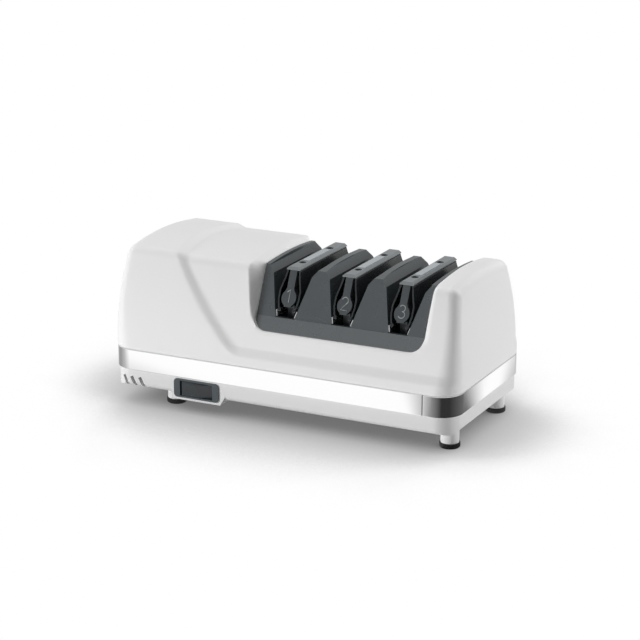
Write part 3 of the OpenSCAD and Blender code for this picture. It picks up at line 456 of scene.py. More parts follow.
class HoodShape:
    """Surface of the hood in millimetres: the forms of the motor block and the panel, mixed at the slope."""

    def __init__(self, p, top):
        for key in p.__annotations__:
            setattr(self, key, getattr(p, key) / MM)
        self.top = top / MM
        self.insets = (0.0, self.panel_depth)
        self.forms = [self.solve(inset) for inset in self.insets]
        run = Vector((self.panel_foot - self.panel_top, self.panel_skirt - self.shoulder)).normalized()
        self.across = Vector((-run.y, run.x))
        if self.across.x < 0:
            self.across.negate()

    def rise(self, z):
        """0 at the foot, 1 at the shoulder."""
        return (z - self.foot) / (self.shoulder - self.foot)

    def share(self, z):
        """How much of their lean the walls have at a height."""
        t = self.rise(z)
        return LEAN_EVEN * t + LEAN_GROWING * t * t

    def half_x(self, z):
        return self.half_length - self.end_lean * self.share(z)

    def half_y(self, z, inset):
        return self.half_width - inset - self.side_lean * self.share(z)

    def radius(self, z):
        """Corner radius of the plan."""
        t = min(1.0, self.rise(z))
        return self.top_radius + (self.foot_radius - self.top_radius) * (1.0 - t) ** CORNER_FADE

    def crown_at(self, y, inset):
        """Height of the crowned top."""
        return self.top - inset - self.crown * (y / self.half_y(self.shoulder, 0.0)) ** 2

    def slope(self, z, lean):
        """Angle of a wall from upright."""
        t = self.rise(z)
        return math.atan(lean * (LEAN_EVEN + 2.0 * LEAN_GROWING * t) / (self.shoulder - self.foot))

    def solve(self, inset):
        """Where the wall ends and the shoulder's arc begins: height, side and end angle, inner line."""
        z = self.shoulder - 5.0
        for _ in range(30):
            side = self.slope(z, self.side_lean)
            inner = self.half_y(z, inset) - self.shoulder_radius * math.cos(side)
            z = self.crown_at(inner, inset) - self.shoulder_radius * (1.0 - math.sin(side))
        return z, side, self.slope(z, self.end_lean), inner

    def side_point(self, form, level, dx, dy, x_main, y_main):
        """A point of the walls or the shoulder's arc, by direction in a corner or by place on a flat side."""
        inset = self.insets[form]
        wall, side, end, inner = self.forms[form]
        if y_main is not None:
            start, y_ref = end, y_main * inner
        elif x_main is not None:
            start, y_ref = side, inner
        else:
            w = dx * dx / (dx * dx + dy * dy)
            start, y_ref = side + (end - side) * w, inner
        r = self.shoulder_radius
        wall_here = self.crown_at(y_ref, inset) - r * (1.0 - math.sin(start))
        kind, value = level
        draw = 0.0
        if kind == "arc":
            angle = start + value * (math.pi / 2 - start)
            z = wall_here + r * (math.sin(angle) - math.sin(start))
            plan_z = wall
            draw = r * (math.cos(start) - math.cos(angle))
        elif kind == "high":
            z = LEVEL_LINES + value * (wall_here - LEVEL_LINES)
            plan_z = LEVEL_LINES + value * (wall - LEVEL_LINES)
        else:
            z = plan_z = value
        return self.plan_point(plan_z, z, inset, draw, dx, dy, x_main, y_main)

    def plan_point(self, plan_z, z, inset, draw, dx, dy, x_main, y_main):
        """A point at a height, on the plan's outline drawn in by the shoulder's arc."""
        hx, hy, rho = self.half_x(plan_z), self.half_y(plan_z, inset), self.radius(plan_z)
        cx, cy = hx - rho, hy - rho
        if x_main is not None:
            return Vector((self.stretch(x_main, cx), math.copysign(hy - draw, dy), z))
        if y_main is not None:
            return Vector((math.copysign(hx - draw, dx), y_main * cy, z))
        d = math.hypot(dx, dy)
        return Vector((math.copysign(cx, dx) + (rho - draw) * dx / d,
                       math.copysign(cy, dy) + (rho - draw) * dy / d, z))

    def stretch(self, x, cx):
        """Keeps lengthwise lines where they are, save near the ends, where they spread up to the corner."""
        edge = self.half_length - self.foot_radius
        beyond = abs(x) - KEPT_LINES
        if beyond <= 0:
            return x
        return math.copysign(KEPT_LINES + beyond / (edge - KEPT_LINES) * (cx - KEPT_LINES), x)

    def top_point(self, form, dx, dy, x_main, y_main):
        """A point of the crowned top inside the shoulder."""
        inset = self.insets[form]
        wall, side, end, inner = self.forms[form]
        hx, hy, rho = self.half_x(wall), self.half_y(wall, inset), self.radius(wall)
        cx, cy = hx - rho, hy - rho
        r = self.shoulder_radius
        ax, ay = (0.0 if x_main is not None else abs(dx)), (0.0 if y_main is not None else abs(dy))
        big = max(ax, ay) / math.hypot(ax, ay) if ax or ay else 0.0
        x = self.stretch(x_main, cx) if x_main is not None else math.copysign(
            cx + (rho - r * math.cos(end)) * ax * big, dx)
        y = y_main * cy if y_main is not None else math.copysign(
            cy + (rho - r * math.cos(side)) * ay * big, dy)
        return Vector((x, y, self.crown_at(y, inset)))

    def panel_share(self, p):
        """0 on the motor block and the skirt, 1 on the panel."""
        z = p.z + max(0.0, p.z - self.top + CROWN_LEAN)
        d1 = (p.x - self.panel_top) * self.across.x + (z - self.shoulder) * self.across.y
        up = min(1.0, max(0.0, (z - self.panel_skirt) / (self.shoulder - self.panel_skirt)))
        d1 += self.panel_bow * 4.0 * up * (1.0 - up)
        d2 = p.z - self.panel_skirt
        bend = self.panel_bend
        d = min(d1, d2)
        if d1 < bend and d2 < bend:
            vz = d2 - bend
            vx = (d1 - bend - vz * self.across.y) / self.across.x
            if vx < 0 and -(vz - self.across.y * vx / self.across.x) > 0:
                d = bend - math.hypot(vx, vz)
        t = min(1.0, max(0.0, d / self.panel_ramp))
        return SLOPE_EVEN * t + SLOPE_EASED * smooth_step(t)

    def project(self, y, z):
        """Moves a point of the hood onto the insert's outline, along the ray from the middle."""
        oz = RAY_LEVEL
        ay, dz = abs(y), z - oz
        for (y0, z0), (y1, z1) in zip(INSERT_OUTLINE, INSERT_OUTLINE[1:]):
            ey, ez = y1 - y0, z1 - z0
            det = ay * -ez + ey * dz
            if abs(det) < 1e-9:
                continue
            s = (y0 * -ez + ey * (z0 - oz)) / det
            u = (ay * (z0 - oz) - dz * y0) / det
            if s > 0 and -1e-6 <= u <= 1.0 + 1e-6:
                return math.copysign(ay * s, y), oz + dz * s
        return y, z


def hood_lines(p):
    """Lines of the hood's grid: lengthwise, across and upwards, and the indices of the marked lines."""
    corner = [math.tan(math.radians(45.0) * k / CORNER_STEPS) for k in range(1, CORNER_STEPS + 1)]
    edge = p.half_length - p.foot_radius

    def run(a, b, pitch):
        n = max(1, round((b - a) / pitch))
        return [a + (b - a) * k / n for k in range(n)]

    left, right, flare = p.saddle_left, p.saddle_right, p.flare
    motor = -92.0
    outer = left - flare - CREASE
    xs = run(-edge, motor, 2.5) + run(motor, outer, 1.4) + [outer]
    xs += [left - flare, left - flare * 0.6, left - flare * 0.25]
    marks = {"left": CORNER_STEPS + len(xs)}
    xs += run(left, right, 2.4)
    marks["right"] = CORNER_STEPS + len(xs)
    xs += [right, right + flare * 0.25, right + flare * 0.6]
    xs += [right + flare, right + flare + CREASE, edge - 0.25, edge]
    xs = [("corner", -t) for t in reversed(corner)] + [("main", x) for x in xs]
    xs += [("corner", t) for t in corner]
    ys = [("corner", -t) for t in reversed(corner)] + [("main", -1.0 + k / 16.0) for k in range(33)]
    ys += [("corner", t) for t in corner]
    skirt = p.panel_skirt
    zs = [p.foot, p.foot + 0.5, p.foot + 2.0] + run(p.foot + 4.0, skirt - 0.5, 1.2)
    zs += run(skirt - 0.5, skirt + 6.5, 0.8) + run(skirt + 6.5, p.sill - CREASE, 1.8) + [p.sill - CREASE]
    marks["sill"] = len(zs)
    zs += [p.sill, p.sill + CREASE] + run(p.sill + 2.4, LEVEL_LINES, 1.7)
    zs = [("wall", z) for z in zs] + [("high", k / 14.0) for k in range(15)]
    zs += [("arc", k / 9.0) for k in range(1, 10)]
    return xs, ys, zs, marks


def grid_box(nx, ny, nz):
    """A cube cut into cells, with each vertex carrying its three line numbers."""
    bm = bmesh.new()
    bmesh.ops.create_cube(bm, size=2.0)
    for axis, count in ((0, nx), (1, ny), (2, nz)):
        along = [e for e in bm.edges if abs(e.verts[0].co[axis] - e.verts[1].co[axis]) > 1e-4]
        bmesh.ops.subdivide_edges(bm, edges=along, cuts=count - 1, use_grid_fill=True)
    layers = [bm.verts.layers.int.new(n) for n in "ijk"]
    for v in bm.verts:
        for axis, (layer, count) in enumerate(zip(layers, (nx, ny, nz))):
            v[layer] = round((v.co[axis] + 1.0) / 2.0 * count)
    return bm, layers


def saddle_warp(p, x, z):
    """Rounds the saddle's lower corners and bends the flare's crease, in the plane of the side."""
    mid = (p.saddle_left + p.saddle_right) / 2
    sign = -1.0 if x < mid else 1.0
    out = p.saddle_left - x if sign < 0 else x - p.saddle_right
    up = min(1.0, max(0.0, (z - p.flare_foot) / (INSERT_CREST - p.flare_foot)))
    fine, wide, reach = FLARE_LEFT if sign < 0 else FLARE_RIGHT
    crease = fine + (wide * p.flare - fine) * up
    crease = p.flare + (crease - p.flare) * smooth_step((z - FLARE_START) / FLARE_RUN)
    if out > 0:
        if out <= p.flare:
            out = out * crease / p.flare
        elif out < p.flare + reach:
            out += (crease - p.flare) * (1.0 - smooth_step((out - p.flare) / reach))
    r = p.sill_radius
    dz = z - p.sill
    a, b = max(-out, 0.0), max(dz, 0.0)
    if a < r and b < r and min(a, b) < 1e-3:
        px, pz = r - a, r - b
        d = math.hypot(px, pz)
        fade = 1.0 - smooth_step(math.hypot(max(out, 0.0), max(-dz, 0.0)) / SILL_FADE)
        push = max(0.0, d - r) / d * fade
        out -= px * push
        z += pz * push
    return (p.saddle_left - out if sign < 0 else p.saddle_right + out), z


class SHARPENER_OT_hood(bpy.types.Operator):
    """Build the white hood with its panel, saddle and flared corners."""

    bl_idname = "sharpener.hood"
    bl_label = "Hood"

    def execute(self, context):
        shape = HoodShape(context.scene.sharpener_hood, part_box("upper_housing")[1].z)
        xs, ys, zs, marks = hood_lines(shape)
        nx, ny, nz = len(xs) - 1, len(ys) - 1, len(zs) - 1
        bm, (li, lj, lk) = grid_box(nx, ny, nz)
        floor = [f for f in bm.faces if all(v[lk] == 0 for v in f.verts)]
        bmesh.ops.delete(bm, geom=floor, context="FACES")
        low, high, sill = marks["left"], marks["right"], marks["sill"]
        hole = [f for f in bm.faces if all(low <= v[li] <= high and v[lk] >= sill for v in f.verts)]
        bmesh.ops.delete(bm, geom=hole, context="FACES")
        for v in bm.verts:
            self.place(shape, v, xs, ys, zs, marks, (v[li], v[lj], v[lk]), (nx, ny, nz))
        self.turn_in(bm, shape, lk)
        for v in bm.verts:
            v.co *= MM
        obj = add_piece("hood", bm, "housing_white", "machine", ["upper_housing"])
        shell = obj.modifiers.new("wall", "SOLIDIFY")
        shell.thickness = context.scene.sharpener_hood.wall
        shell.offset = -1.0
        return {"FINISHED"}

    def place(self, shape, v, xs, ys, zs, marks, index, count):
        """Moves a vertex of the grid to its place on the hood."""
        i, j, k = index
        (x_kind, x), (y_kind, y) = xs[i], ys[j]
        x_main = x if x_kind == "main" else None
        y_main = y if y_kind == "main" else None
        dx = x if x_main is None else 0.0
        dy = y if y_main is None else 0.0
        on_top = k == count[2] and 0 < i < count[0] and 0 < j < count[1]
        level = zs[k]
        points = []
        for form in (0, 1):
            if on_top:
                q = shape.top_point(form, dx, dy, x_main, y_main)
            elif j in (0, count[1]) and x_main is not None:
                q = shape.side_point(form, level, 0.0, dy, x_main, None)
            elif i in (0, count[0]) and y_main is not None:
                q = shape.side_point(form, level, dx, 0.0, None, y_main)
            else:
                q = shape.side_point(form, level, dx, dy, None, None)
            points.append(q)
        if x_main is not None and (on_top or j in (0, count[1])):
            for form, q in enumerate(points):
                z = INSERT_CREST if on_top else min(q.z, INSERT_CREST)
                nx, nz = saddle_warp(shape, q.x, z)
                if not on_top and level[0] == "wall":
                    q.y = math.copysign(shape.half_y(nz, shape.insets[form]), q.y)
                    q.z = nz
                q.x = nx
        share = shape.panel_share(points[0])
        p = points[0].lerp(points[1], share)
        if k == 0:
            p.x -= math.copysign(FOOT_CHAMFER, p.x) if i in (0, count[0]) or x_main is None else 0.0
            p.y -= math.copysign(FOOT_CHAMFER, p.y) if j in (0, count[1]) or y_main is None else 0.0
        low, high, sill = marks["left"], marks["right"], marks["sill"]
        if x_main is not None and (on_top or k >= sill) and low - 3 < i < high + 3:
            ty, tz = shape.project(p.y, p.z)
            rise = 1.0 if on_top else smooth_step((p.z - shape.flare_foot) / SEAT_RUN)
            if i in (low, high) or k == sill and low <= i <= high:
                mix = rise
                p.y -= math.copysign(LIP_SINK * (1.0 - rise), p.y)
            else:
                mix = rise * (SEAT_NEAR if i in (low - 1, high + 1) else SEAT_FAR)
            p.y, p.z = p.y + (ty - p.y) * mix, p.z + (tz - p.z) * mix
        v.co = p

    def turn_in(self, bm, shape, lk):
        """Turns the edges of the saddle and of the foot inwards."""
        open_edges = [e for e in bm.edges if len(e.link_faces) == 1]
        foot = [e for e in open_edges if all(v[lk] == 0 for v in e.verts)]
        rim = [e for e in open_edges if not all(v[lk] == 0 for v in e.verts)]
        for v in only(BMVert, bmesh.ops.extrude_edge_only(bm, edges=rim)["geom"]):
            v.co += Vector((0.0, -v.co.y, RAY_LEVEL - v.co.z)).normalized() * shape.lip
        ring = only(BMVert, bmesh.ops.extrude_edge_only(bm, edges=foot)["geom"])
        bmesh.ops.scale(bm, vec=FOOT_TURN, verts=ring)


# Band, base and feet

BAND_GAP = 0.0001  # clearance above and below the band, and half of the gap at its joint


class SHARPENER_OT_band(bpy.types.Operator):
    """Build the bright band round the body, with its butt joint."""

    bl_idname = "sharpener.band"
    bl_label = "Band"

    def execute(self, context):
        hood, trim = context.scene.sharpener_hood, context.scene.sharpener_trim
        low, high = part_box("trim_band")
        bm = bmesh.new()
        bmesh.ops.create_grid(bm, x_segments=1, y_segments=1, size=1.0)
        for v in bm.verts:
            v.co = Vector((math.copysign(high.x, v.co.x), math.copysign(high.y, v.co.y), low.z + BAND_GAP))
        bmesh.ops.bevel(bm, geom=bm.verts[:], offset=hood.foot_radius, offset_type="OFFSET", segments=28,
                        profile=0.5, affect="VERTICES", clamp_overlap=False, material=-1)
        bmesh.ops.inset_region(bm, faces=bm.faces[:], thickness=trim.band_wall, use_boundary=True,
                               use_even_offset=True)
        inner = [f for f in bm.faces if len(f.verts) > 8]
        bmesh.ops.delete(bm, geom=inner, context="FACES")
        joint = trim.band_seam
        for x in (joint - BAND_GAP, joint + BAND_GAP):
            bmesh.ops.bisect_plane(bm, geom=all_of(bm), dist=1e-7, plane_co=(x, 0, 0), plane_no=(1, 0, 0))
        middles = [(f, f.calc_center_median()) for f in bm.faces]
        gap = [f for f, at in middles if abs(at.x - joint) < BAND_GAP and at.y < 0]
        bmesh.ops.delete(bm, geom=gap, context="FACES")
        raised = only(BMVert, bmesh.ops.extrude_face_region(bm, geom=bm.faces[:])["geom"])
        bmesh.ops.translate(bm, vec=(0, 0, high.z - low.z - 2 * BAND_GAP), verts=raised)
        bmesh.ops.remove_doubles(bm, verts=bm.verts, dist=1e-6)
        round_edges(bm, trim.band_edge, segments=3, angle=40.0)
        weigh_normals(add_piece("band", bm, "band_bright", "machine", ["trim_band"]))
        return {"FINISHED"}


class SHARPENER_OT_base(bpy.types.Operator):
    """Build the base tray with its cover, bushing and feet."""

    bl_idname = "sharpener.base"
    bl_label = "Base and feet"

    def execute(self, context):
        soft_copy("base", "base_tray", width=0.00035)
        soft_copy("clean_out_door", "clean_out_cover", width=0.0003)
        soft_copy("bushing", "cord_bushing", width=0.0003)
        soft_copy("feet", "rubber_feet", width=0.0005, segments=3)
        return {"FINISHED"}


# Guides and switch

def numeral_points(k):
    """The middle line of a numeral of unit height."""
    def arc(y, rx, ry, start, end):
        angles = [math.radians(start + (end - start) * n / 16.0) for n in range(17)]
        return [(rx * math.cos(t), y + ry * math.sin(t)) for t in angles]

    if k == 1:
        return [(-0.19, 0.29), (0.04, 0.5), (0.04, -0.5)]
    if k == 2:
        return arc(0.24, 0.26, 0.26, 165.0, -32.0) + [(-0.29, -0.5), (0.29, -0.5)]
    return arc(0.255, 0.235, 0.245, 150.0, -90.0) + arc(-0.245, 0.265, 0.255, 90.0, -152.0)


PLATE_HEIGHT = 0.0003  # part of a cap, from its top, that is its plate
LIT_FRONT_DEPTH = 0.0004  # part of an arm, from its front, that gets a lighter copy of its colour as painted light
SCREW_FLAT, SCREW_BEND, SCREW_DOME = 0.55, 0.45, 0.10  # flat middle, bent rim and dome of a head, in radii
CROSS_HALF, CROSS_REACH, CROSS_DEPTH, CROSS_TAPER = 0.1, 0.6, 0.55, 0.72  # recess of a head, in radii


class SHARPENER_OT_guides(bpy.types.Operator):
    """Build the slate insert with its posts, caps, spring arms, strips, screws and numbers."""

    bl_idname = "sharpener.guides"
    bl_label = "Guides"

    def execute(self, context):
        trim = context.scene.sharpener_trim
        soft_copy("insert", "guide_insert", width=0.0005, segments=3, angle=11.0)
        soft_copy("strips", "slot_strips", width=0.0001)
        for k in (1, 2, 3):
            soft_copy(f"post_{k}", f"guide_post_{k}", width=0.0003)
            cap = soft_copy(f"cap_{k}", f"guide_cap_{k}", width=0.0003, segments=3)
            top = max(v.co.z for v in cap.data.vertices)
            self.second_finish(cap, "plate_grey", lambda face: face.center.z > top - PLATE_HEIGHT)
            for side in ("left", "right"):
                arm = soft_copy(f"arm_{k}_{side}", f"spring_arm_{k}_{side}", width=0.0002)
                # The arms' fronts get the much lighter copy of the slate as painted light.
                front = min(v.co.y for v in arm.data.vertices)
                self.second_finish(arm, "spring_edge", lambda face: face.center.y < front + LIT_FRONT_DEPTH)
            self.number(context, k)
        self.screws(trim)
        return {"FINISHED"}

    def second_finish(self, obj, name, pick):
        """Gives the faces that pick holds for another finish."""
        obj.data.materials.append(finish(name))
        for face in obj.data.polygons:
            if pick(face):
                face.material_index = 1

    def number(self, context, k):
        """A numeral of thin raised strokes on the front of a post."""
        trim = context.scene.sharpener_trim
        line = bpy.data.curves.new(f"numeral_{k}", "CURVE")
        line.dimensions = "3D"
        line.bevel_depth = trim.number_stroke / 2
        line.bevel_resolution = 2
        line.use_fill_caps = True
        points = numeral_points(k)
        spline = line.splines.new("POLY")
        spline.points.add(len(points) - 1)
        for point, (px, py) in zip(spline.points, points):
            point.co = (px * trim.number_height, py * trim.number_height, 0.0, 1.0)
        holder = bpy.data.objects.new(f"numeral_{k}", line)
        context.scene.collection.objects.link(holder)
        context.view_layer.update()
        mesh = bpy.data.meshes.new_from_object(holder.evaluated_get(context.evaluated_depsgraph_get()))
        bpy.data.objects.remove(holder)
        bpy.data.curves.remove(line)
        bm = bmesh.new()
        bm.from_mesh(mesh)
        bpy.data.meshes.remove(mesh)
        bmesh.ops.remove_doubles(bm, verts=bm.verts, dist=1e-6)
        post = bmesh.new()
        post.from_mesh(frame["nodes"][f"guide_post_{k}"].data)
        x = trim.stage_first + (k - 1) * trim.stage_pitch
        hit, normal, _, _ = BVHTree.FromBMesh(post).ray_cast((x, -0.2, trim.number_level), (0, 1, 0))
        post.free()
        if hit is None:
            raise RuntimeError(f"no post face behind numeral {k}")
        up = (Vector((0, 0, 1)) - normal * normal.z).normalized()
        turn = Matrix((up.cross(normal), up, normal)).transposed().to_4x4()
        bmesh.ops.transform(bm, matrix=Matrix.Translation(hit) @ turn, verts=bm.verts)
        add_piece(f"number_{k}", bm, "number_paint", BODY_OF[f"guide_post_{k}"])

    def screws(self, trim):
        """Cap screws with cross recesses, each made from a grid bent to a disc."""
        low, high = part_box("guide_screws")
        bm = bmesh.new()
        for k in range(3):
            for y in (-trim.screw_offset, trim.screw_offset):
                x = trim.stage_first + k * trim.stage_pitch
                self.screw(bm, Vector((x, y, high.z)), trim.screw_radius, high.z - low.z)
        weigh_normals(add_piece("cap_screws", bm, "black_screw", "machine", ["guide_screws"]))

    def screw(self, bm, at, radius, height):
        """One screw, from the rim of its head down to the end of its shank."""
        before = set(bm.verts)
        made = bmesh.ops.create_grid(bm, x_segments=11, y_segments=11, size=1.0)["verts"]
        arms = []
        for f in dict.fromkeys(f for v in made for f in v.link_faces):
            near, far = sorted(abs(c) for c in f.calc_center_median()[:2])
            if near < CROSS_HALF and far < CROSS_REACH:
                arms.append(f)
        rim = [e for e in dict.fromkeys(e for v in made for e in v.link_edges) if len(e.link_faces) == 1]
        for v in made:
            big = max(abs(v.co.x), abs(v.co.y))
            d = math.hypot(v.co.x, v.co.y)
            scale = (big / d if d > 0 else 0.0)
            bend = radius * (1.0 + (scale - 1.0) * smooth_step((big - SCREW_FLAT) / SCREW_BEND))
            v.co = (v.co.x * bend, v.co.y * bend, -radius * SCREW_DOME * (d * scale) ** 4)
        sunk = only(BMVert, bmesh.ops.extrude_face_region(bm, geom=arms)["geom"])
        bmesh.ops.delete(bm, geom=arms, context="FACES_ONLY")
        bmesh.ops.scale(bm, vec=(CROSS_TAPER, CROSS_TAPER, 1.0), verts=sunk)
        bmesh.ops.translate(bm, vec=(0, 0, -radius * CROSS_DEPTH), verts=sunk)
        wall = bmesh.ops.extrude_edge_only(bm, edges=rim)["geom"]
        bmesh.ops.translate(bm, vec=(0, 0, -height), verts=only(BMVert, wall))
        bmesh.ops.contextual_create(bm, geom=only(BMEdge, wall))
        bmesh.ops.translate(bm, vec=at, verts=[v for v in bm.verts if v not in before])


ROCKER_FACET = math.radians(16)  # angle between the two halves of the rocker's face


class SHARPENER_OT_switch(bpy.types.Operator):
    """Build the switch frame and the rocker."""

    bl_idname = "sharpener.switch"
    bl_label = "Switch"

    def execute(self, context):
        soft_copy("switch_surround", "switch_bezel", width=0.0004, segments=3)
        bm = cad_copy("switch_rocker")
        self.cut_brow(bm, context.scene.sharpener_trim.rocker_brow)
        round_edges(bm, width=0.0003, segments=3, angle=14.0)
        weigh_normals(add_piece("switch_rocker_key", bm, "switch_key", BODY_OF["switch_rocker"],
                                ["switch_rocker"]))
        return {"FINISHED"}

    def cut_brow(self, bm, drop):
        """Cuts a slope from both upper corners of the rocker's face down to a point on its ridge."""
        start, end = (pick(v.co.x for v in bm.verts) for pick in (min, max))
        front = min(v.co.y for v in bm.verts)
        ridge = max(v.co.x for f in bm.faces if f.normal.y < -0.999 for v in f.verts)
        upper = [f for f in bm.faces if f.normal.z > 0.999]
        brow = max(upper, key=lambda f: f.calc_area()).calc_center_median().z
        left = Vector((start, front, brow))
        middle = Vector((ridge, front, brow - drop))
        right = Vector((end, front + math.tan(ROCKER_FACET) * (end - ridge), brow))
        cut = bmesh.ops.bisect_plane(bm, geom=all_of(bm), dist=1e-7, plane_co=left, clear_outer=True,
                                     plane_no=(middle - left).cross(right - left).normalized())
        bmesh.ops.holes_fill(bm, edges=only(BMEdge, cut["geom_cut"]), sides=0)
        bmesh.ops.recalc_face_normals(bm, faces=bm.faces)


# Stage

# Greys of the floor's painted contact shadow by how open it is, and of the painted reflections of cards that
# polished metal sees, by turn round FAN_CENTRE.
FLOOR_PAINTED_SHADOW = [
    (0.10, 0.16), (0.23, 0.29), (0.46, 0.42), (0.73, 0.63), (0.80, 0.77), (0.83, 0.95), (0.88, 1.0),
]
PAINTED_REFLECTION_FAN = [
    (0.0, 0.3), (0.03, 0.5), (0.06, 1.0), (0.17, 1.0),  # painted white reflection before the front
    (0.195, 0.25), (0.32, 0.03), (0.42, 0.03), (0.667, 0.14),  # painted dark reflection round the front right corner
    (0.688, 1.0), (0.7, 1.0), (0.706, 0.57),  # painted white reflection beside the right end
    (0.8, 0.65), (0.88, 0.95), (0.93, 0.95), (0.96, 0.45), (1.0, 0.3),  # painted grey reflections behind and on the left
]
FAN_CENTRE = (-0.1095, 0.0435, 0.0)
LAMPS = {
    "key": ((-2.20, -2.14, 0.46), 0.8),
    "fill": ((2.10, 1.15, 0.60), 1.0),
    "top": ((-0.30, 1.00, 1.87), 1.2),
}
LAMP_TARGET = Vector((0, 0, 0.05))


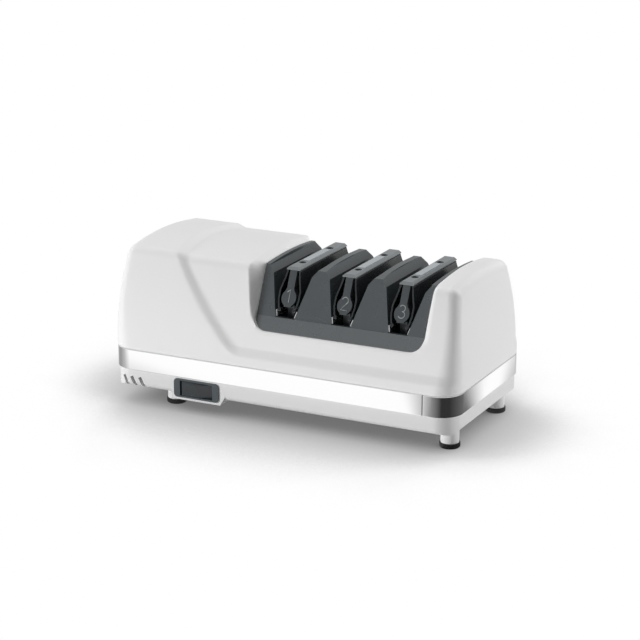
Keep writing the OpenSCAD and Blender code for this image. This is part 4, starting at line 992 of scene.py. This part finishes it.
class SHARPENER_OT_stage(bpy.types.Operator):
    """Set up the camera, the pale floor and the soft studio light."""

    bl_idname = "sharpener.stage"
    bl_label = "Stage"

    def execute(self, context):
        scene, s = context.scene, context.scene.sharpener_stage
        scene.view_settings.view_transform = "Standard"
        self.camera(scene, s)
        self.floor(scene)
        self.surroundings(scene, s)
        for name, (at, size) in LAMPS.items():
            self.lamp(scene, name, at, size, getattr(s, name))
        return {"FINISHED"}

    def camera(self, scene, s):
        """The camera, turned and raised round its target."""
        data = bpy.data.cameras.new("camera")
        data.sensor_width = 36.0
        data.lens = s.lens
        cam = bpy.data.objects.new("camera", data)
        scene.collection.objects.link(cam)
        a, e = math.radians(s.azimuth), math.radians(s.elevation)
        back = Vector((math.sin(a) * math.cos(e), -math.cos(a) * math.cos(e), math.sin(e)))
        cam.location = Vector(s.target) + back * s.distance
        cam.rotation_euler = (-back).to_track_quat("-Z", "Y").to_euler()
        data.clip_start, data.clip_end = 0.05, 20.0
        scene.camera = cam

    def floor(self, scene):
        """A wide floor under the feet."""
        bm = bmesh.new()
        bmesh.ops.create_grid(bm, x_segments=8, y_segments=8, size=6.0)
        mesh = bpy.data.meshes.new("floor")
        bm.to_mesh(mesh)
        bm.free()
        obj = bpy.data.objects.new("floor", mesh)
        scene.collection.objects.link(obj)
        mesh.materials.append(self.floor_white())

    def floor_white(self):
        """White to the camera with a painted soft contact shadow, plain white paper for the light, and a
        painted reflection of a fan of light and dark studio cards, seen in polished metal."""
        mat = bpy.data.materials.new("floor_white")
        mat.use_nodes = True
        mat.cycles.emission_sampling = "NONE"
        tree = mat.node_tree
        shader = tree.nodes["Principled BSDF"]
        shader.inputs["Base Color"].default_value = (0.90, 0.90, 0.90, 1)
        shader.inputs["Roughness"].default_value = 0.6
        near = add_node(tree, "AmbientOcclusion", Distance=0.30)
        near.samples = 16
        coords = add_node(tree, "TexCoord")
        place = add_node(tree, "Mapping", Location=FAN_CENTRE)
        fan = add_node(tree, "TexGradient")
        fan.gradient_type = "RADIAL"
        wire(tree, (coords.outputs["Object"], place.inputs["Vector"]),
             (place.outputs["Vector"], fan.inputs["Vector"]))
        rays = add_node(tree, "LightPath")
        # Camera rays see the painted contact shadow, and glossy rays see the painted card reflections.
        glows = {"Is Camera Ray": self.ramp(tree, FLOOR_PAINTED_SHADOW, near.outputs["AO"]),
                 "Is Glossy Ray": self.ramp(tree, PAINTED_REFLECTION_FAN, fan.outputs["Fac"])}
        for ray, glow in glows.items():
            mix = add_node(tree, "MixShader")
            wire(tree, (rays.outputs[ray], mix.inputs["Fac"]), (shader.outputs[0], mix.inputs[1]),
                 (glow.outputs[0], mix.inputs[2]))
            shader = mix
        wire(tree, (shader.outputs[0], tree.nodes["Material Output"].inputs["Surface"]))
        return mat

    def ramp(self, tree, stops, value):
        """An emission whose grey follows the stops of a ramp."""
        ramp = add_node(tree, "ValToRGB")
        ramp.color_ramp.elements[0].position = stops[0][0]
        ramp.color_ramp.elements[1].position = stops[-1][0]
        for place, _ in stops[1:-1]:
            ramp.color_ramp.elements.new(place)
        for element, (_, grey) in zip(ramp.color_ramp.elements, stops):
            element.color = (grey, grey, grey, 1)
        glow = add_node(tree, "Emission")
        wire(tree, (value, ramp.inputs["Fac"]), (ramp.outputs["Color"], glow.inputs["Color"]))
        return glow

    def surroundings(self, scene, s):
        """Soft white light all round. The camera sees white, and gloss sees a room that is brighter above."""
        world = bpy.data.worlds.new("studio")
        scene.world = world
        world.use_nodes = True
        world.cycles.sampling_method = "NONE"
        tree = world.node_tree
        soft = tree.nodes["Background"]
        soft.inputs["Color"].default_value = (1, 1, 1, 1)
        soft.inputs["Strength"].default_value = s.ambient
        seen = add_node(tree, "Background", Strength=1.0)
        coords = add_node(tree, "TexCoord")
        split = add_node(tree, "SeparateXYZ")
        rise = add_node(tree, "MapRange", From_Min=0.48, From_Max=0.68, To_Min=s.horizon)
        rays = add_node(tree, "LightPath")
        white = add_math(tree, "Math", "MAXIMUM")
        first = add_math(tree, "Math", "ADD")
        second = add_math(tree, "Math", "ADD")
        second.use_clamp = True
        mix = add_node(tree, "MixShader")
        wire(tree, (coords.outputs["Generated"], split.inputs[0]), (split.outputs["Z"], rise.inputs["Value"]),
             (rise.outputs["Result"], white.inputs[0]), (rays.outputs["Is Camera Ray"], white.inputs[1]),
             (white.outputs[0], seen.inputs["Color"]), (rays.outputs["Is Camera Ray"], first.inputs[0]),
             (rays.outputs["Is Glossy Ray"], first.inputs[1]), (first.outputs[0], second.inputs[0]),
             (rays.outputs["Is Transmission Ray"], second.inputs[1]), (second.outputs[0], mix.inputs["Fac"]),
             (soft.outputs[0], mix.inputs[1]), (seen.outputs[0], mix.inputs[2]),
             (mix.outputs[0], tree.nodes["World Output"].inputs["Surface"]))

    def lamp(self, scene, name, at, size, power):
        """A soft lamp that lights the object without showing in it."""
        data = bpy.data.lights.new(name, "AREA")
        data.energy = power
        data.size = size
        obj = bpy.data.objects.new(name, data)
        scene.collection.objects.link(obj)
        obj.location = at
        obj.rotation_euler = (LAMP_TARGET - Vector(at)).to_track_quat("-Z", "Y").to_euler()
        obj.visible_camera = False
        obj.visible_glossy = False


# Panel and registration

STEPS = ("finishes", "hood", "band", "base", "guides", "switch", "stage")


class SHARPENER_PT_build(bpy.types.Panel):
    """Lists the building steps in the sidebar of the 3D view."""

    bl_idname = "SHARPENER_PT_build"
    bl_label = "Knife sharpener"
    bl_space_type = "VIEW_3D"
    bl_region_type = "UI"
    bl_category = "Sharpener"

    def draw(self, context):
        for step in STEPS:
            self.layout.operator("sharpener." + step)
        for group in GROUPS:
            box = self.layout.box()
            settings = getattr(context.scene, group)
            for key in settings.__annotations__:
                box.prop(settings, key)


GROUPS = {
    "sharpener_hood": SharpenerHood,
    "sharpener_trim": SharpenerTrim,
    "sharpener_colours": SharpenerColours,
    "sharpener_stage": SharpenerStage,
}
CLASSES = (
    *GROUPS.values(),
    SHARPENER_OT_finishes,
    SHARPENER_OT_hood,
    SHARPENER_OT_band,
    SHARPENER_OT_base,
    SHARPENER_OT_guides,
    SHARPENER_OT_switch,
    SHARPENER_OT_stage,
    SHARPENER_PT_build,
)


def register():
    for cls in CLASSES:
        bpy.utils.register_class(cls)
    for name, cls in GROUPS.items():
        setattr(bpy.types.Scene, name, PointerProperty(type=cls))


def unregister():
    for name in GROUPS:
        delattr(bpy.types.Scene, name)
    for cls in reversed(CLASSES):
        bpy.utils.unregister_class(cls)


def main():
    register()
    bpy.ops.sharpener.finishes()
    bpy.ops.sharpener.hood()
    bpy.ops.sharpener.band()
    bpy.ops.sharpener.base()
    bpy.ops.sharpener.guides()
    bpy.ops.sharpener.switch()
    bpy.ops.sharpener.stage()


if __name__ == "__main__":
    main()
